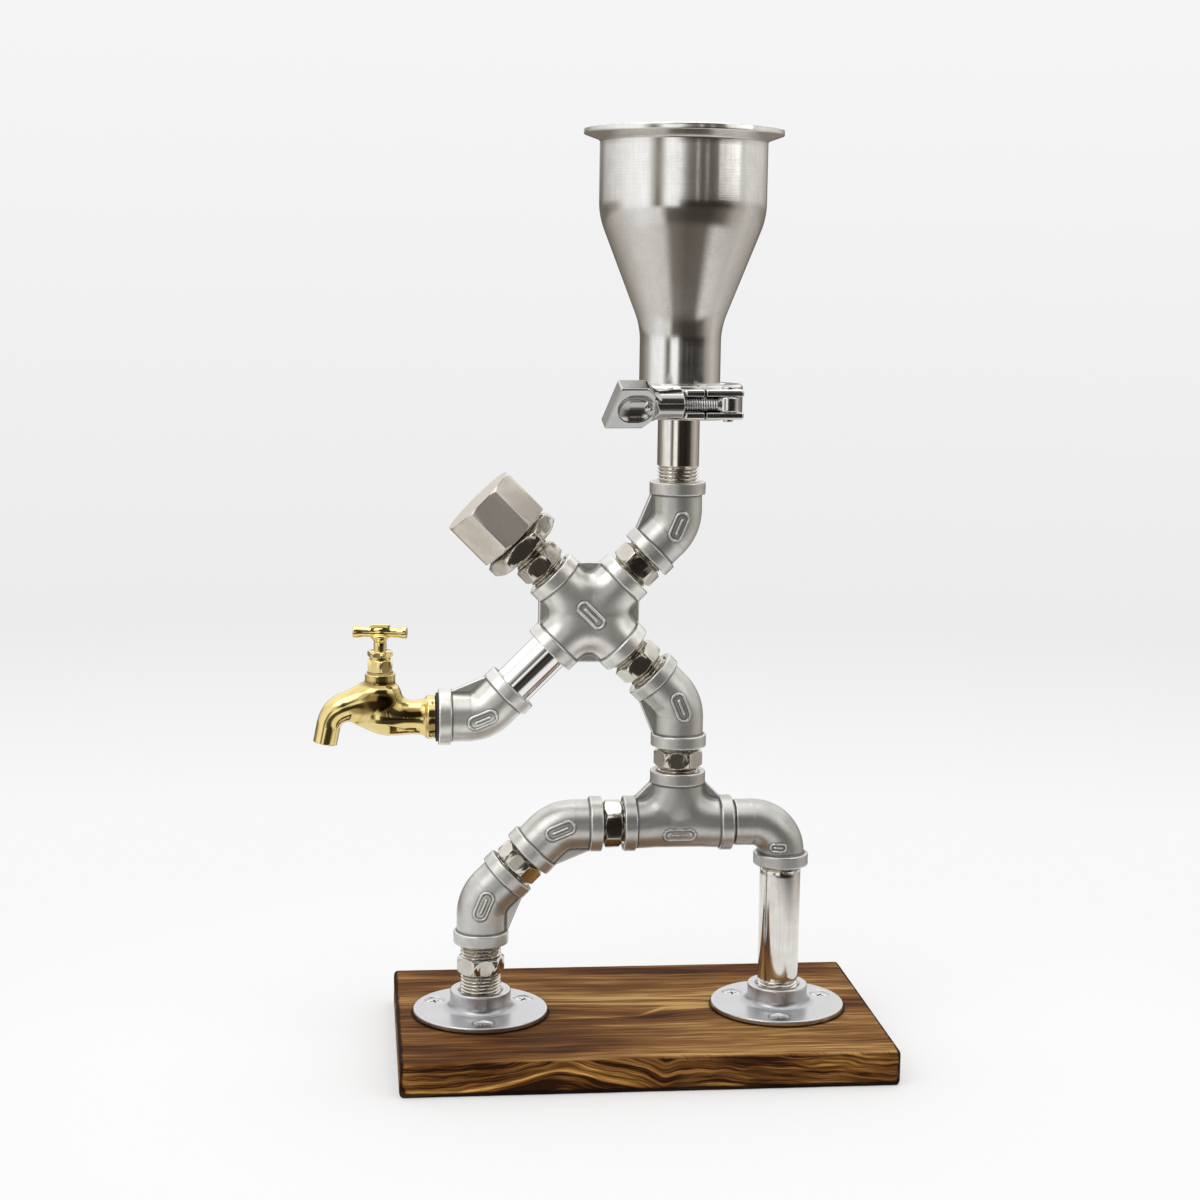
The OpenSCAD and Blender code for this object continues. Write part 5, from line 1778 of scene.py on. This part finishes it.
@dataclass
class Funnel:
    """The funnel and the pipe with the lower ferrule that it is clamped to."""

    figure: Figure
    height: float = 134.4
    bowl_h: float = 43.0
    cone_h: float = 54.7
    bowl_r: float = 42.0
    neck_r: float = 20.5
    wall: float = 2.0
    rim_r: float = 50.0
    rim_edge: float = 2.9
    bend: float = 38.0
    ferrule_r: float = 25.25
    back_r: float = 21.8
    ferrule_edge: float = 2.8
    slope: float = 20.0
    face: float = 1.0
    pipe_l: float = 41.2
    thread_show: float = 8.0

    def funnel(self) -> Surface:
        """Outline of ferrule, neck, cone, bowl and rim, and back along the inside.

        Returns:
            The closed surface.
        """
        tilt = math.tan(math.radians(self.slope))
        top, high = self.height, self.height - self.bowl_h
        low = high - self.cone_h
        back = self.face + self.ferrule_edge
        rise = (self.ferrule_r - self.back_r) * tilt
        under = top - self.rim_edge - (self.rim_r - self.bowl_r) * tilt
        neck, bowl = self.neck_r - self.wall, self.bowl_r - self.wall
        outline = rounded([
            (neck, self.face, 0.2), (self.ferrule_r, self.face, 0.3), (self.ferrule_r, back, 0.3),
            (self.back_r, back + rise, 0.5), (self.neck_r, back + rise, 0.8), (self.neck_r, low, self.bend),
            (self.bowl_r, high, self.bend), (self.bowl_r, under, 1.4), (self.rim_r, top - self.rim_edge, 0.5),
            (self.rim_r, top, 0.6), (bowl, top, 0.8), (bowl, high, self.bend), (neck, low, self.bend)])
        axis = Axis((self.figure.collar[0], 0.0, self.figure.collar[1]))
        return turned(axis, dense(outline, 3.0), 256)

    def pipe(self) -> Surface:
        """Thread, bare pipe and ferrule, bored through.

        Returns:
            The closed surface.
        """
        f = self.figure
        angle = full_turn(96)
        rise = (self.ferrule_r - self.back_r) * math.tan(math.radians(self.slope))
        low, bare = -self.pipe_l - f.grip, self.thread_show - self.pipe_l
        back = -self.face - self.ferrule_edge
        outline = rounded([(f.pipe_r - 0.3, bare, 0), (f.pipe_r, bare + 0.3, 0), (f.pipe_r, back - rise, 2.0),
                           (self.back_r, back - rise, 0.4), (self.ferrule_r, back, 0.3),
                           (self.ferrule_r, -self.face, 0.3), (f.pipe_bore_r, -self.face, 0)], False)
        outline = dense(np.concatenate([outline, [[f.pipe_bore_r, low]]]), 3.0, False)
        rows = f.tail(angle, low, bare - 0.4, f.pipe_bore_r) + Rows.rings(angle, *outline[:, ::-1])
        return Axis((f.collar[0], 0.0, f.collar[1])).surface(angle, rows)

    def build(self, shop: Shop) -> None:
        """Adds the funnel and the pipe below it."""
        shop.add("funnel_turned", self.funnel(), FUNNEL_STEEL, Slot.FUNNEL, ["funnel"])
        shop.add("upper_pipe_steel", self.pipe(), PIPE_STEEL, Slot.PIPE, ["ferrule_pipe"])


@dataclass
class Clamp:
    """The clamp: two half rings with ears and knuckles, pins, swing bolt and wing nut."""

    figure: Figure
    turn: float = 8.6
    ring_r: float = 32.0
    ring_h: float = 17.0
    lip_r: float = 21.95
    groove_r: float = 25.55
    groove_half: float = 3.95
    split: float = 1.0
    reach: float = 40.0
    pin_x: float = 13.0
    pin_r: float = 2.5
    hinge_y: float = 36.0
    knuckle_r: float = 5.5
    ear_w: float = 10.0
    ear_h: float = 15.0
    ear_past: float = 4.6
    slot_h: float = 7.8
    eye_r: float = 5.5
    eye_h: float = 7.2
    bolt_r: float = 3.5
    barrel_r: float = 7.25
    barrel_l: float = 13.4
    wing_l: float = 24.6
    wing_w: float = 23.0
    wing_t: float = 8.6
    wing_turn: float = 30.0
    wing_slant: float = 5.2
    gap: float = 0.7
    dish_r: float = 10.0
    play: float = 0.05
    bolt_pitch: float = 1.25

    def _ring(self, p: Array, side: int) -> Array:
        """Half of the ring: a rounded section with a V groove inside, cut at the split.

        Args:
            p: points, ... x 3.
            side: -1 for the left half, 1 for the right one.

        Returns:
            Distances, negative inside.
        """
        out, up = np.hypot(p[..., 0], p[..., 1]), np.abs(p[..., 2])
        middle, half = (self.ring_r + self.lip_r) / 2, (self.ring_r - self.lip_r) / 2
        made = pair(np.abs(out - middle) - half, up - self.ring_h / 2, 1.8)
        slope = math.tan(math.radians(20.0))
        groove = np.maximum(out - self.groove_r, up - self.groove_half - (self.groove_r - out) * slope)
        made = soft_max(0.3, made, -groove)
        return soft_max(0.5, made, self.split / 2 - side * p[..., 0])

    def _ear(self, p: Array, x0: float, x1: float, inner: float, side: int) -> Array:
        """Ear outside the ring, slotted for the bolt from the front.

        Args:
            p: points, ... x 3.
            x0: its left end.
            x1: its right end.
            inner: distance of the slot's end from the ring's middle.
            side: -1 for the left half, 1 for the right one.

        Returns:
            Distances, negative inside.
        """
        half = self.ear_h / 2
        made = block(p, (x0, -self.reach - self.ear_past, -half), (x1, -self.ring_r + 5, half), 1.6)
        made = soft_max(0.6, made, 29.0 - np.hypot(p[..., 0], p[..., 1]))
        slot = np.maximum(np.abs(p[..., 2]) - self.slot_h / 2, p[..., 1] + inner)
        made = soft_max(0.7, made, -slot)
        return soft_max(0.5, made, self.split / 2 - side * p[..., 0])

    def left_field(self, p: Array) -> Array:
        """Half ring with the nut's forked ear and the middle knuckle."""
        made = soft_min(2.2, self._ring(p, -1), self._ear(p, -self.ear_w - 0.5, 2.0, self.reach - self.slot_h / 2, -1))
        return self._hinge(p, made, ((-2.77, 2.77),), -1)

    def right_field(self, p: Array) -> Array:
        """Half ring with the pin's forked ear and the two outer knuckles.

        Args:
            p: points, ... x 3.

        Returns:
            Distances, negative inside.
        """
        x1 = self.pin_x + self.eye_r + 1.5
        made = soft_min(2.2, self._ring(p, 1), self._ear(p, -2.0, x1, self.reach - self.eye_r - 0.5, 1))
        away = np.hypot(p[..., 0] - self.pin_x, p[..., 1] + self.reach)
        made = soft_max(0.25, made, self.pin_r + self.play - away)
        return self._hinge(p, made, ((-8.5, -2.97), (2.97, 8.5)), 1)

    def _hinge(self, p: Array, made: Array, spans: Sequence[Place], side: int) -> Array:
        """Adds knuckles between given heights and bores them for the pin.

        Args:
            p: points, ... x 3.
            made: distances so far.
            spans: lowest and highest place of each knuckle.
            side: -1 for the left half, 1 for the right one.

        Returns:
            Distances, negative inside.
        """
        for low, high in spans:
            knuckle = rod(p, (0, self.hinge_y, low), (0, self.hinge_y, high), self.knuckle_r, 0.5)
            x = sorted((side * 0.5, side * self.knuckle_r))
            arm = block(p, (x[0], self.ring_r - 5, low), (x[1], self.hinge_y, high), 0.5)
            arm = np.maximum(arm, 29.5 - np.hypot(p[..., 0], p[..., 1]))
            made = soft_min(0.6, made, np.minimum(knuckle, arm))
        away = np.hypot(p[..., 0], p[..., 1] - self.hinge_y)
        return soft_max(0.25, made, self.pin_r + self.play - away)

    def _face(self) -> float:
        """Place along the bolt where the wing nut begins."""
        return -self.ear_w - self.split / 2 - self.gap

    def bolt_field(self, p: Array) -> Array:
        """Threaded bar with a flat eye; the thread is a ripple of the bar's radius.

        Args:
            p: points, ... x 3.

        Returns:
            Distances, negative inside.
        """
        end = self._face() - self.barrel_l - 3.0
        q = p - np.array((0, -self.reach, 0), np.float32)
        turn = np.arctan2(q[..., 2], q[..., 1]) / (2 * math.pi)
        ripple = np.clip(np.abs((q[..., 0] / self.bolt_pitch - turn) % 1 - 0.5) * 2.4 - 0.1, 0, 1) * 0.5
        bar = rod(q, (end, 0, 0), (self.pin_x - self.eye_r + 1, 0, 0), self.bolt_r, 0.5)
        bar = (bar + ripple * (q[..., 0] < self.pin_x - self.eye_r - 0.5)) * 0.8
        eye = rod(q, (self.pin_x, 0, -self.eye_h / 2), (self.pin_x, 0, self.eye_h / 2), self.eye_r, 0.7)
        made = soft_min(0.6, bar, eye)
        return soft_max(0.2, made, self.pin_r + self.play - np.hypot(q[..., 0] - self.pin_x, q[..., 1]))

    def nut_field(self, p: Array) -> Array:
        """Barrel and slant-ended grip with a thumb dish on each side, in the bolt's own frame.

        Args:
            p: points, ... x 3.

        Returns:
            Distances, negative inside.
        """
        face = self._face()
        root = face - self.barrel_l
        tip, w, neck = root - self.wing_l, self.wing_w / 2, self.barrel_r - 1.0
        x, y, z = p[..., 0], np.abs(p[..., 1]), np.abs(p[..., 2])
        lean = self.wing_slant / self.wing_w
        end = (tip + lean * (p[..., 2] + w) - x) / math.hypot(1.0, lean)
        rise, run = w - neck, 5.5
        shoulder = ((x - root) * rise + (z - neck) * run) / math.hypot(rise, run)
        sides = [x - root - 0.3, end, z - w, shoulder]
        plate = soft_max(1.0, soft_max(0.8, *sides), y - self.wing_t / 2)
        barrel = rod(p, (root - 1, 0, 0), (face, 0, 0), self.barrel_r, 0.7)
        made = soft_min(1.6, plate, barrel)
        mid = (root + tip) / 2 + 1.8
        shift = np.maximum(np.abs(x - mid) - 1.6, 0)
        dish = np.sqrt(shift ** 2 + (y - self.dish_r - 0.8) ** 2 + z ** 2) - self.dish_r
        made = soft_max(0.5, made, -dish)
        bore = np.maximum(np.hypot(p[..., 1], p[..., 2]) - self.bolt_r - self.play, root - 5.0 - x)
        return soft_max(0.3, made, -bore)

    def pin(self, x: float, y: float, height: float) -> Surface:
        """Headed pin, domed a little at both ends.

        Args:
            x: its place across the clamp.
            y: its place along the clamp.
            height: height of what it holds.

        Returns:
            The closed surface.
        """
        half, head = height / 2, self.pin_r + 0.8
        top = half + 1.2
        outline = rounded([(0, -top, 0), (self.pin_r, -top, 0.5), (self.pin_r, half, 0.0), (head, half, 0.2),
                           (head, top, 0.5), (0, top, 0)], False)
        return turned(Axis((x, y, 0.0)), outline, 48, False)

    def build(self, shop: Shop) -> None:
        """Adds all pieces of the clamp.

        Args:
            shop: makes the objects.
        """
        matrix = turn_about(2, self.turn)
        place = (self.figure.collar[0], 0.0, self.figure.collar[1])
        for name, solid, shape, low, high, step, body in (
                ("left_casting", "half_left", self.left_field, (-33.5, -46.5, -9.8), (7.0, 43.0, 9.8), 0.48,
                 Body.STAND),
                ("right_casting", "half_right", self.right_field, (-7.0, -46.5, -9.8), (33.5, 43.0, 9.8), 0.48,
                 Body.STAND),
                ("bolt_threaded", "swing_bolt", self.bolt_field, (-29.5, -46.5, -6.2), (19.6, -33.5, 6.2), 0.28,
                 Body.SWING_BOLT)):
            made = skin(shape, low, high, step).moved(matrix, place)
            shop.add(f"clamp_{name}", made, CLAMP_STEEL, Slot.CLAMP, [f"clamp_{solid}"], body)
        nut = skin(self.nut_field, (-50.6, -8.4, -13.6), (-10.2, 8.4, 13.6), 0.36)
        nut = nut.moved(turn_about(0, self.wing_turn), (0, -self.reach, 0))
        # The wing nut takes the painted darker copy of the clamp's finish.
        shop.add("clamp_wing_casting", nut.moved(matrix, place), PAINTED_SHADED_CLAMP, Slot.CLAMP, ["clamp_wing_nut"],
                 Body.WING_NUT)
        for name, x, y, height in (("hinge", 0.0, self.hinge_y, self.ring_h),
                                   ("bolt", self.pin_x, -self.reach, self.ear_h)):
            made = self.pin(x, y, height).moved(matrix, place)
            shop.add(f"clamp_{name}_pin_steel", made, SCREW_STEEL, Slot.CLAMP, [f"clamp_{name}_pin"])


@dataclass
class Tap:
    """The brass tap: cast body with spout, bonnet, gland nut, spindle and T handle."""

    figure: Figure
    mouth_x: float = -103.855
    spindle_u: float = 29.5
    collar_r: float = 11.0
    boss_h: float = 22.8
    root_z: float = 12.1
    root_r: float = 9.2
    bend_r: float = 7.3
    end_r: float = 6.1
    bore_r: float = 4.0
    root_l: float = 19.0
    turn_r: float = 13.0
    turn: float = 59.0
    slope: float = 20.0
    end_l: float = 9.3
    bonnet: Prism = Prism(6, 12.3, 0.0, 0.3)
    bonnet_neck: tuple[Place, ...] = ((17.2, 5.6), (23.6, 5.6))
    bonnet_top: float = 30.0
    gland: Prism = Prism(6, 11.6, 15.0, 0.3)
    gland_neck: tuple[Place, ...] = ((28.7, 4.55), (30.0, 4.55), (30.0, 5.2), (31.4, 5.2))
    gland_top: float = 34.4
    nut_bore_r: float = 3.31
    spindle_r: float = 3.25
    spindle_low: float = 11.7
    handle_h: float = 43.9
    handle_l: float = 27.4
    handle_turn: float = -8.0

    def _path(self) -> tuple[Array, Array]:
        """Middle of the spout's bend and the end of the bend, as u and z.

        Returns:
            The two points.
        """
        c, s = aim(-self.slope)
        start = np.array([self.spindle_u, self.root_z]) + self.root_l * np.array([c, s])
        centre = start + self.turn_r * np.array([s, -c])
        return centre, centre + self.turn_r * np.array(aim(90 - self.slope - self.turn))

    def _spout(self, p: Array) -> Array:
        """Distance to the spout's centre line less a radius that falls from root to mouth.

        Args:
            p: points, ... x 3.

        Returns:
            Distances, negative inside.
        """
        centre, end = self._path()
        u, y, z = p[..., 0], p[..., 1], p[..., 2]
        c, s = aim(-self.slope)
        du, dz = u - self.spindle_u, z - self.root_z
        along, across = du * c + dz * s, dz * c - du * s
        t = np.clip(along / self.root_l, 0, 1)
        root = np.sqrt(across ** 2 + y ** 2 + (along - t * self.root_l) ** 2) - (
            self.root_r + (self.bend_r - self.root_r) * smooth_step(t))
        first = 90 - self.slope
        turn = np.arctan2(z - centre[1], u - centre[0])
        share = np.clip((math.radians(first) - turn) / math.radians(self.turn), 0, 1)
        bend = arc(p, centre, self.turn_r, first - self.turn / 2, self.turn / 2,
                   self.bend_r + (self.end_r - self.bend_r) * smooth_step(share))
        c, s = aim(-self.slope - self.turn)
        mouth = end + self.end_l * np.array([c, s])
        tip = rod(p, (end[0], 0, end[1]), (mouth[0], 0, mouth[1]), self.end_r, 0.5)
        made = np.minimum(np.minimum(root, bend), tip)
        beyond = mouth[0] + 3 * c, 0, mouth[1] + 3 * s
        bore = rod(p, (end[0], 0, end[1]), beyond, self.bore_r, 0.1)
        out = (u - mouth[0]) * c + (z - mouth[1]) * s
        return soft_max(0.5, soft_max(0.5, made, np.where(u > 45, out, -9.0)), -bore)

    def body_field(self, p: Array) -> Array:
        """Belly along u, boss along z and spout, blended together; collar and tail behind.

        Args:
            p: points, ... x 3.

        Returns:
            Distances, negative inside.
        """
        u, z = p[..., 0], p[..., 2]
        out = np.hypot(p[..., 1], z)
        knots = ((4.0, 10.4), (6.4, 9.8), (8.4, 9.0), (12.0, 8.7), (16.0, 8.8), (21.0, 9.25), (26.0, 9.3), (30.5, 8.5),
                 (35.5, 6.4), (41.0, 3.4), (45.0, 0.2))
        belly = soft_max(0.8, (out - eased(u, knots, 4.0)) * 0.85, 4.0 - u, u - 45.0)
        away = np.hypot(u - self.spindle_u, p[..., 1])
        rise = ((0.0, 9.0), (10.0, 9.1), (14.0, 9.0), (15.8, 8.3), (16.9, 7.3), (17.5, 7.2), (17.9, 7.7), (22.8, 7.7))
        boss = soft_max(0.5, (away - eased(z, rise, 0.7)) * 0.9, -z, z - self.boss_h)
        saddle = soft_min(7.0, belly, soft_max(1.0, boss, z - 15.6))
        made = soft_min(4.0, saddle, self._spout(p))
        made = soft_min(0.6, made, boss)
        made = soft_min(1.6, made, rod(p, (1.2, 0, 0), (5.8, 0, 0), self.collar_r, 0.9))
        return np.minimum(made, rod(p, (-12, 0, 0), (3, 0, 0), self.figure.thread_r, 0.8))

    def handle_field(self, p: Array) -> Array:
        """Bar with flared ends, a cupped hub under it and a flat boss on it; z = 0 is the bar's middle.

        Args:
            p: points, ... x 3.

        Returns:
            Distances, negative inside.
        """
        x, out = np.abs(p[..., 0]), np.hypot(p[..., 1], p[..., 2])
        half = self.handle_l / 2
        flare = eased(x, ((0, 2.5), (5, 2.45), (9, 2.6), (half - 2.2, 3.05), (half, 3.1)), 2.0)
        bar = soft_max(0.7, out - flare, x - half)
        away = np.hypot(p[..., 0], p[..., 1])
        rise = eased(p[..., 2], ((-5.0, 3.3), (-4.2, 3.4), (-2.2, 4.7), (-1.5, 4.5), (-0.6, 2.4), (1.6, 2.4)), 0.4)
        hub = soft_max(0.6, (away - rise) * 0.7, -5.0 - p[..., 2], p[..., 2] - 2.0)
        boss = soft_max(0.9, np.abs(p[..., 0]) - 5.0, np.abs(p[..., 1]) - 1.7, -p[..., 2], p[..., 2] - 4.2)
        return soft_min(0.9, bar, hub, boss)

    def nut(self, axis: Axis, prism: Prism, neck: Sequence[Place], high: float) -> Surface:
        """Prism up to a height on a neck of steps, each a height and a radius, bored for the spindle.

        Args:
            axis: the spindle's axis.
            prism: the prism.
            neck: the steps from below.
            high: height of the top.

        Returns:
            The closed surface.
        """
        angle = prism.angles()
        rows = Rows.rings(angle, (neck[0][0], self.nut_bore_r), *neck) + prism.block(angle, neck[-1][0], high)
        return axis.surface(angle, rows + Rows.rings(angle, (high, self.nut_bore_r)))

    def build(self, shop: Shop) -> None:
        """Adds all pieces of the tap.

        Args:
            shop: makes the objects.
        """
        f = self.figure
        matrix = turn_about(2, 180.0)
        place = (self.mouth_x, 0.0, f.wrist[1])
        top = Axis((self.mouth_x - self.spindle_u, 0.0, f.wrist[1]), zero=(-1.0, 0.0, 0.0))
        body = skin(self.body_field, (-13.2, -12.4, -16.2), (64.0, 12.4, 24.2), 0.4)
        # The tap body takes the brass with painted dark reflections.
        shop.add("tap_body_brass", body.moved(matrix, place), PAINTED_REFLECTION_BRASS, Slot.BRASS, ["tap_body"])
        for name, prism, neck, high in (("tap_bonnet", self.bonnet, self.bonnet_neck, self.bonnet_top),
                                        ("gland_nut", self.gland, self.gland_neck, self.gland_top)):
            shop.add(f"{name}_brass", self.nut(top, prism, neck, high), BRASS, Slot.BRASS, [name])
        low, neck, thin = self.spindle_low, self.handle_h - 5, 2.0
        outline = rounded([(0, low, 0), (self.spindle_r, low, 0.3), (self.spindle_r, neck, 0.2), (thin, neck, 0),
                           (thin, neck + 4, 0), (0, neck + 4, 0)], False)
        shop.add("tap_spindle_brass", turned(top, dense(outline, 2.0), 64, False), BRASS, Slot.BRASS,
                 ["tap_spindle"], Body.HANDLE)
        handle = skin(self.handle_field, (-14.6, -5.8, -5.8), (14.6, 5.8, 6.0), 0.25)
        spot = (self.mouth_x - self.spindle_u, 0.0, f.wrist[1] + self.handle_h)
        shop.add("tap_handle_brass", handle.moved(turn_about(2, 180.0 + self.handle_turn), spot), BRASS, Slot.BRASS,
                 ["tap_handle"], Body.HANDLE)


@dataclass
class Studio:
    """Plain floor, white surroundings with softboxes and dark flags, lamps and camera."""

    camera_at: Point = (-0.1463, -1.10975, 0.39486)
    yaw: float = 0.112
    pitch: float = 0.142
    roll: float = 0.014
    lens: float = 66.21
    sensor: float = 36.0
    walls: tuple[tuple[Place, ...], ...] = (
        ((-180, 0.40), (180, 0.40), (-70, 0.72), (-42, 0.66), (-28, 0.20), (0, 0.11), (30, 0.15), (48, 0.74),
         (95, 0.84)),
        ((-180, 0.20), (180, 0.20), (-150, 0.28), (-110, 0.60), (-70, 0.90), (-40, 0.75), (-30, 0.14), (0, 0.05),
         (32, 0.05), (52, 0.14), (70, 0.42), (95, 0.62), (150, 0.28)),
        ((-180, 0.16), (180, 0.16), (-138, 0.18), (-112, 0.40), (-92, 1.0), (-58, 1.15), (-50, 0.55), (-43, 0.05),
         (-37, 0.45), (-31, 1.2), (-17, 1.15), (-10, 0.12), (0, 0.02), (36, 0.015), (58, 0.05), (70, 0.32),
         (95, 0.62), (120, 0.42), (150, 0.18)),
        ((-180, 0.10), (180, 0.10), (-160, 0.14), (-142, 0.60), (-122, 0.85), (-92, 1.05), (-58, 1.15), (-50, 0.60),
         (-43, 0.18), (-37, 0.50), (-31, 1.15), (-12, 1.1), (-3, 0.35), (5, 0.20), (9, 0.16), (11, 1.0), (13, 0.16),
         (22, 0.12), (24, 0.70), (26, 0.12), (34, 0.17), (48, 0.26), (60, 0.60), (90, 0.85), (125, 0.75),
         (142, 0.50), (160, 0.14)),
        ((-180, 0.40), (180, 0.40), (-125, 0.80), (-92, 1.05), (-58, 1.15), (-46, 0.90), (-34, 0.85), (-26, 0.30),
         (-14, 0.06), (25, 0.05), (45, 0.15), (62, 0.50), (90, 0.80), (130, 0.70)))
    heights: tuple[Place, ...] = ((-0.62, -0.46), (-0.18, -0.10), (-0.03, 0.06), (0.12, 0.22))
    ceiling: Colour = (1.2, 1.2, 1.2)
    ceiling_edge: Place = (0.54, 0.74)
    ceiling_lean: Place = (0.18, 0.55)
    backdrop: tuple[tuple[float, Colour], ...] = (
        (0.11, (0.955, 0.955, 0.955)), (0.62, (0.915, 0.915, 0.915)), (0.27, (0.945, 0.945, 0.945)),
        (0.35, (0.838, 0.838, 0.842)))
    ambient: Colour = (0.76, 0.76, 0.76)
    floor_r: float = 0.6
    floor_fade: Place = (0.25, 0.44)

    def floor(self) -> None:
        """Pale disc under the board that keeps the shadow and fades out into the backdrop."""
        rings, angle = 7, full_turn(96)
        radius = np.linspace(0.0, self.floor_r, rings)[:, None] / MM
        flat = np.stack([radius * np.cos(angle), radius * np.sin(angle), radius * 0 * angle], -1).reshape(-1, 3)
        faces = grid_faces(rings, len(angle), False)[:, ::-1]
        made = make_object("pale_floor", Surface(flat, faces, flat), 60.0)
        material, graph, shader = new_material("pale_floor")
        far = graph.value("VectorMath", {0: graph.value("TexCoord", output="Object")}, "Value", operation="LENGTH")
        graph.feed(shader, {"Alpha": far.smooth(*self.floor_fade, 1.0, 0.0), "Base Color": (0.60, 0.60, 0.60),
                            "Emission Color": (1.0, 1.0, 1.0), "Emission Strength": 0.38, "Roughness": 0.9,
                            "Specular IOR Level": 0.0})
        made.data.materials.append(material)

    def surroundings(self) -> None:
        """World: plain light for diffuse rays; camera, glossy and transmission rays see the studio.

        Reflections see the walls, one above the other from the ground up; each gives way to the
        next over a span of heights. A wall is a row of headings from -Y in degrees with their
        brightness: white on the left with a thin dark flag, dark round the camera, grey on the
        right. A bright ceiling comes lower at the back and higher at the front.
        The camera sees a plain backdrop that pales upwards and downwards.
        """
        world = bpy.data.worlds.new("studio")
        bpy.context.scene.world = world
        world.use_nodes = True
        world.node_tree.nodes.clear()
        graph = Graph(world.node_tree)
        x, y, z = graph.value("TexCoord", output="Generated").parts()
        heading = x.maths("ARCTAN2", y * -1.0) / (2 * math.pi) + 0.5
        walls = [heading.ramp([((d + 180) / 360, self._tint(v)) for d, v in stops]) for stops in self.walls]
        studio = walls[0]
        for wall, (low, high) in zip(walls[1:], self.heights):
            studio = z.smooth(low, high).mix(studio, wall)
        front, back = self.ceiling_lean
        lifted = z + y.most(0.0) * back + y.least(0.0) * front
        studio = lifted.smooth(*self.ceiling_edge).mix(studio, self.ceiling)
        rays = graph.node("LightPath").outputs
        camera, glossy, through = (Value(graph, rays[f"Is {kind} Ray"])
                                   for kind in ("Camera", "Glossy", "Transmission"))
        light = camera.most(glossy).most(through).mix(self.ambient, camera.mix(studio, (z + 0.5).ramp(self.backdrop)))
        graph.node("OutputWorld", {0: graph.value("Background", {"Color": light, "Strength": 1.0})})

    @staticmethod
    def _tint(value: float) -> Colour:
        """Neutral where bright, warmer the darker it is."""
        warm = min(max((0.9 - value) / 0.8, 0.0), 1.0)
        return value, value * (1 - 0.12 * warm), value * (1 - 0.26 * warm)

    def lamp(self, name: str, at: Point, size: float, power: float) -> None:
        """Soft square lamp that looks at the middle of the figure.

        Args:
            name: its name.
            at: its place in metres.
            size: its side in metres.
            power: its power in watts.
        """
        data = bpy.data.lights.new(name, "AREA")
        data.size, data.energy = size, power
        made = bpy.data.objects.new(name, data)
        bpy.context.scene.collection.objects.link(made)
        made.location = at
        aim = -np.asarray(at) + np.array([0.0, 0.0, 0.2])
        made.rotation_euler = Vector(aim).to_track_quat("-Z", "Y").to_euler()

    def camera(self) -> None:
        """Camera of the photograph: forward from yaw and pitch, then rolled about its line."""
        data = bpy.data.cameras.new("camera")
        data.lens, data.sensor_width = self.lens, self.sensor
        data.clip_start, data.clip_end = 0.05, 60.0
        made = bpy.data.objects.new("camera", data)
        bpy.context.scene.collection.objects.link(made)
        cy, sy, cp, sp = math.cos(self.yaw), math.sin(self.yaw), math.cos(self.pitch), math.sin(self.pitch)
        forward = np.array([sy * cp, cy * cp, -sp])
        right = np.array([cy, -sy, 0.0])
        up = np.cross(right, forward)
        c, s = math.cos(self.roll), math.sin(self.roll)
        side, top = c * right + s * up, c * up - s * right
        turn = np.eye(4)
        turn[:3, 0], turn[:3, 1], turn[:3, 2], turn[:3, 3] = side, top, -forward, self.camera_at
        made.matrix_world = Matrix(turn.tolist())
        bpy.context.scene.camera = made

    def build(self) -> None:
        """Sets up the whole studio."""
        self.camera()
        self.floor()
        self.surroundings()
        self.lamp("key_lamp", (-0.9, -0.8, 1.3), 0.9, 4.0)
        self.lamp("fill_lamp", (1.1, -0.7, 0.9), 0.9, 2.1)
        self.lamp("top_lamp", (0.0, 0.2, 1.6), 1.0, 3.4)
        bpy.context.scene.view_settings.view_transform = "Standard"


def main() -> None:
    """Builds every sub-assembly in order."""
    logging.basicConfig(level=logging.INFO, format="%(message)s")
    figure = Figure()
    shop = Shop()
    Studio().build()
    for group in (Board(figure), Feet(figure), Castings(figure), Pipes(figure), Head(figure), Funnel(figure),
                  Clamp(figure), Tap(figure)):
        group.build(shop)
    shop.dress(["leg_stopper", "clamp_gasket", "tail_washer", "gland_packing", "jumper_washer"], RUBBER)
    shop.dress(["bonnet_washer"], FIBRE)
    shop.dress(["jumper_valve"], BRASS)


if __name__ == "__main__":
    main()
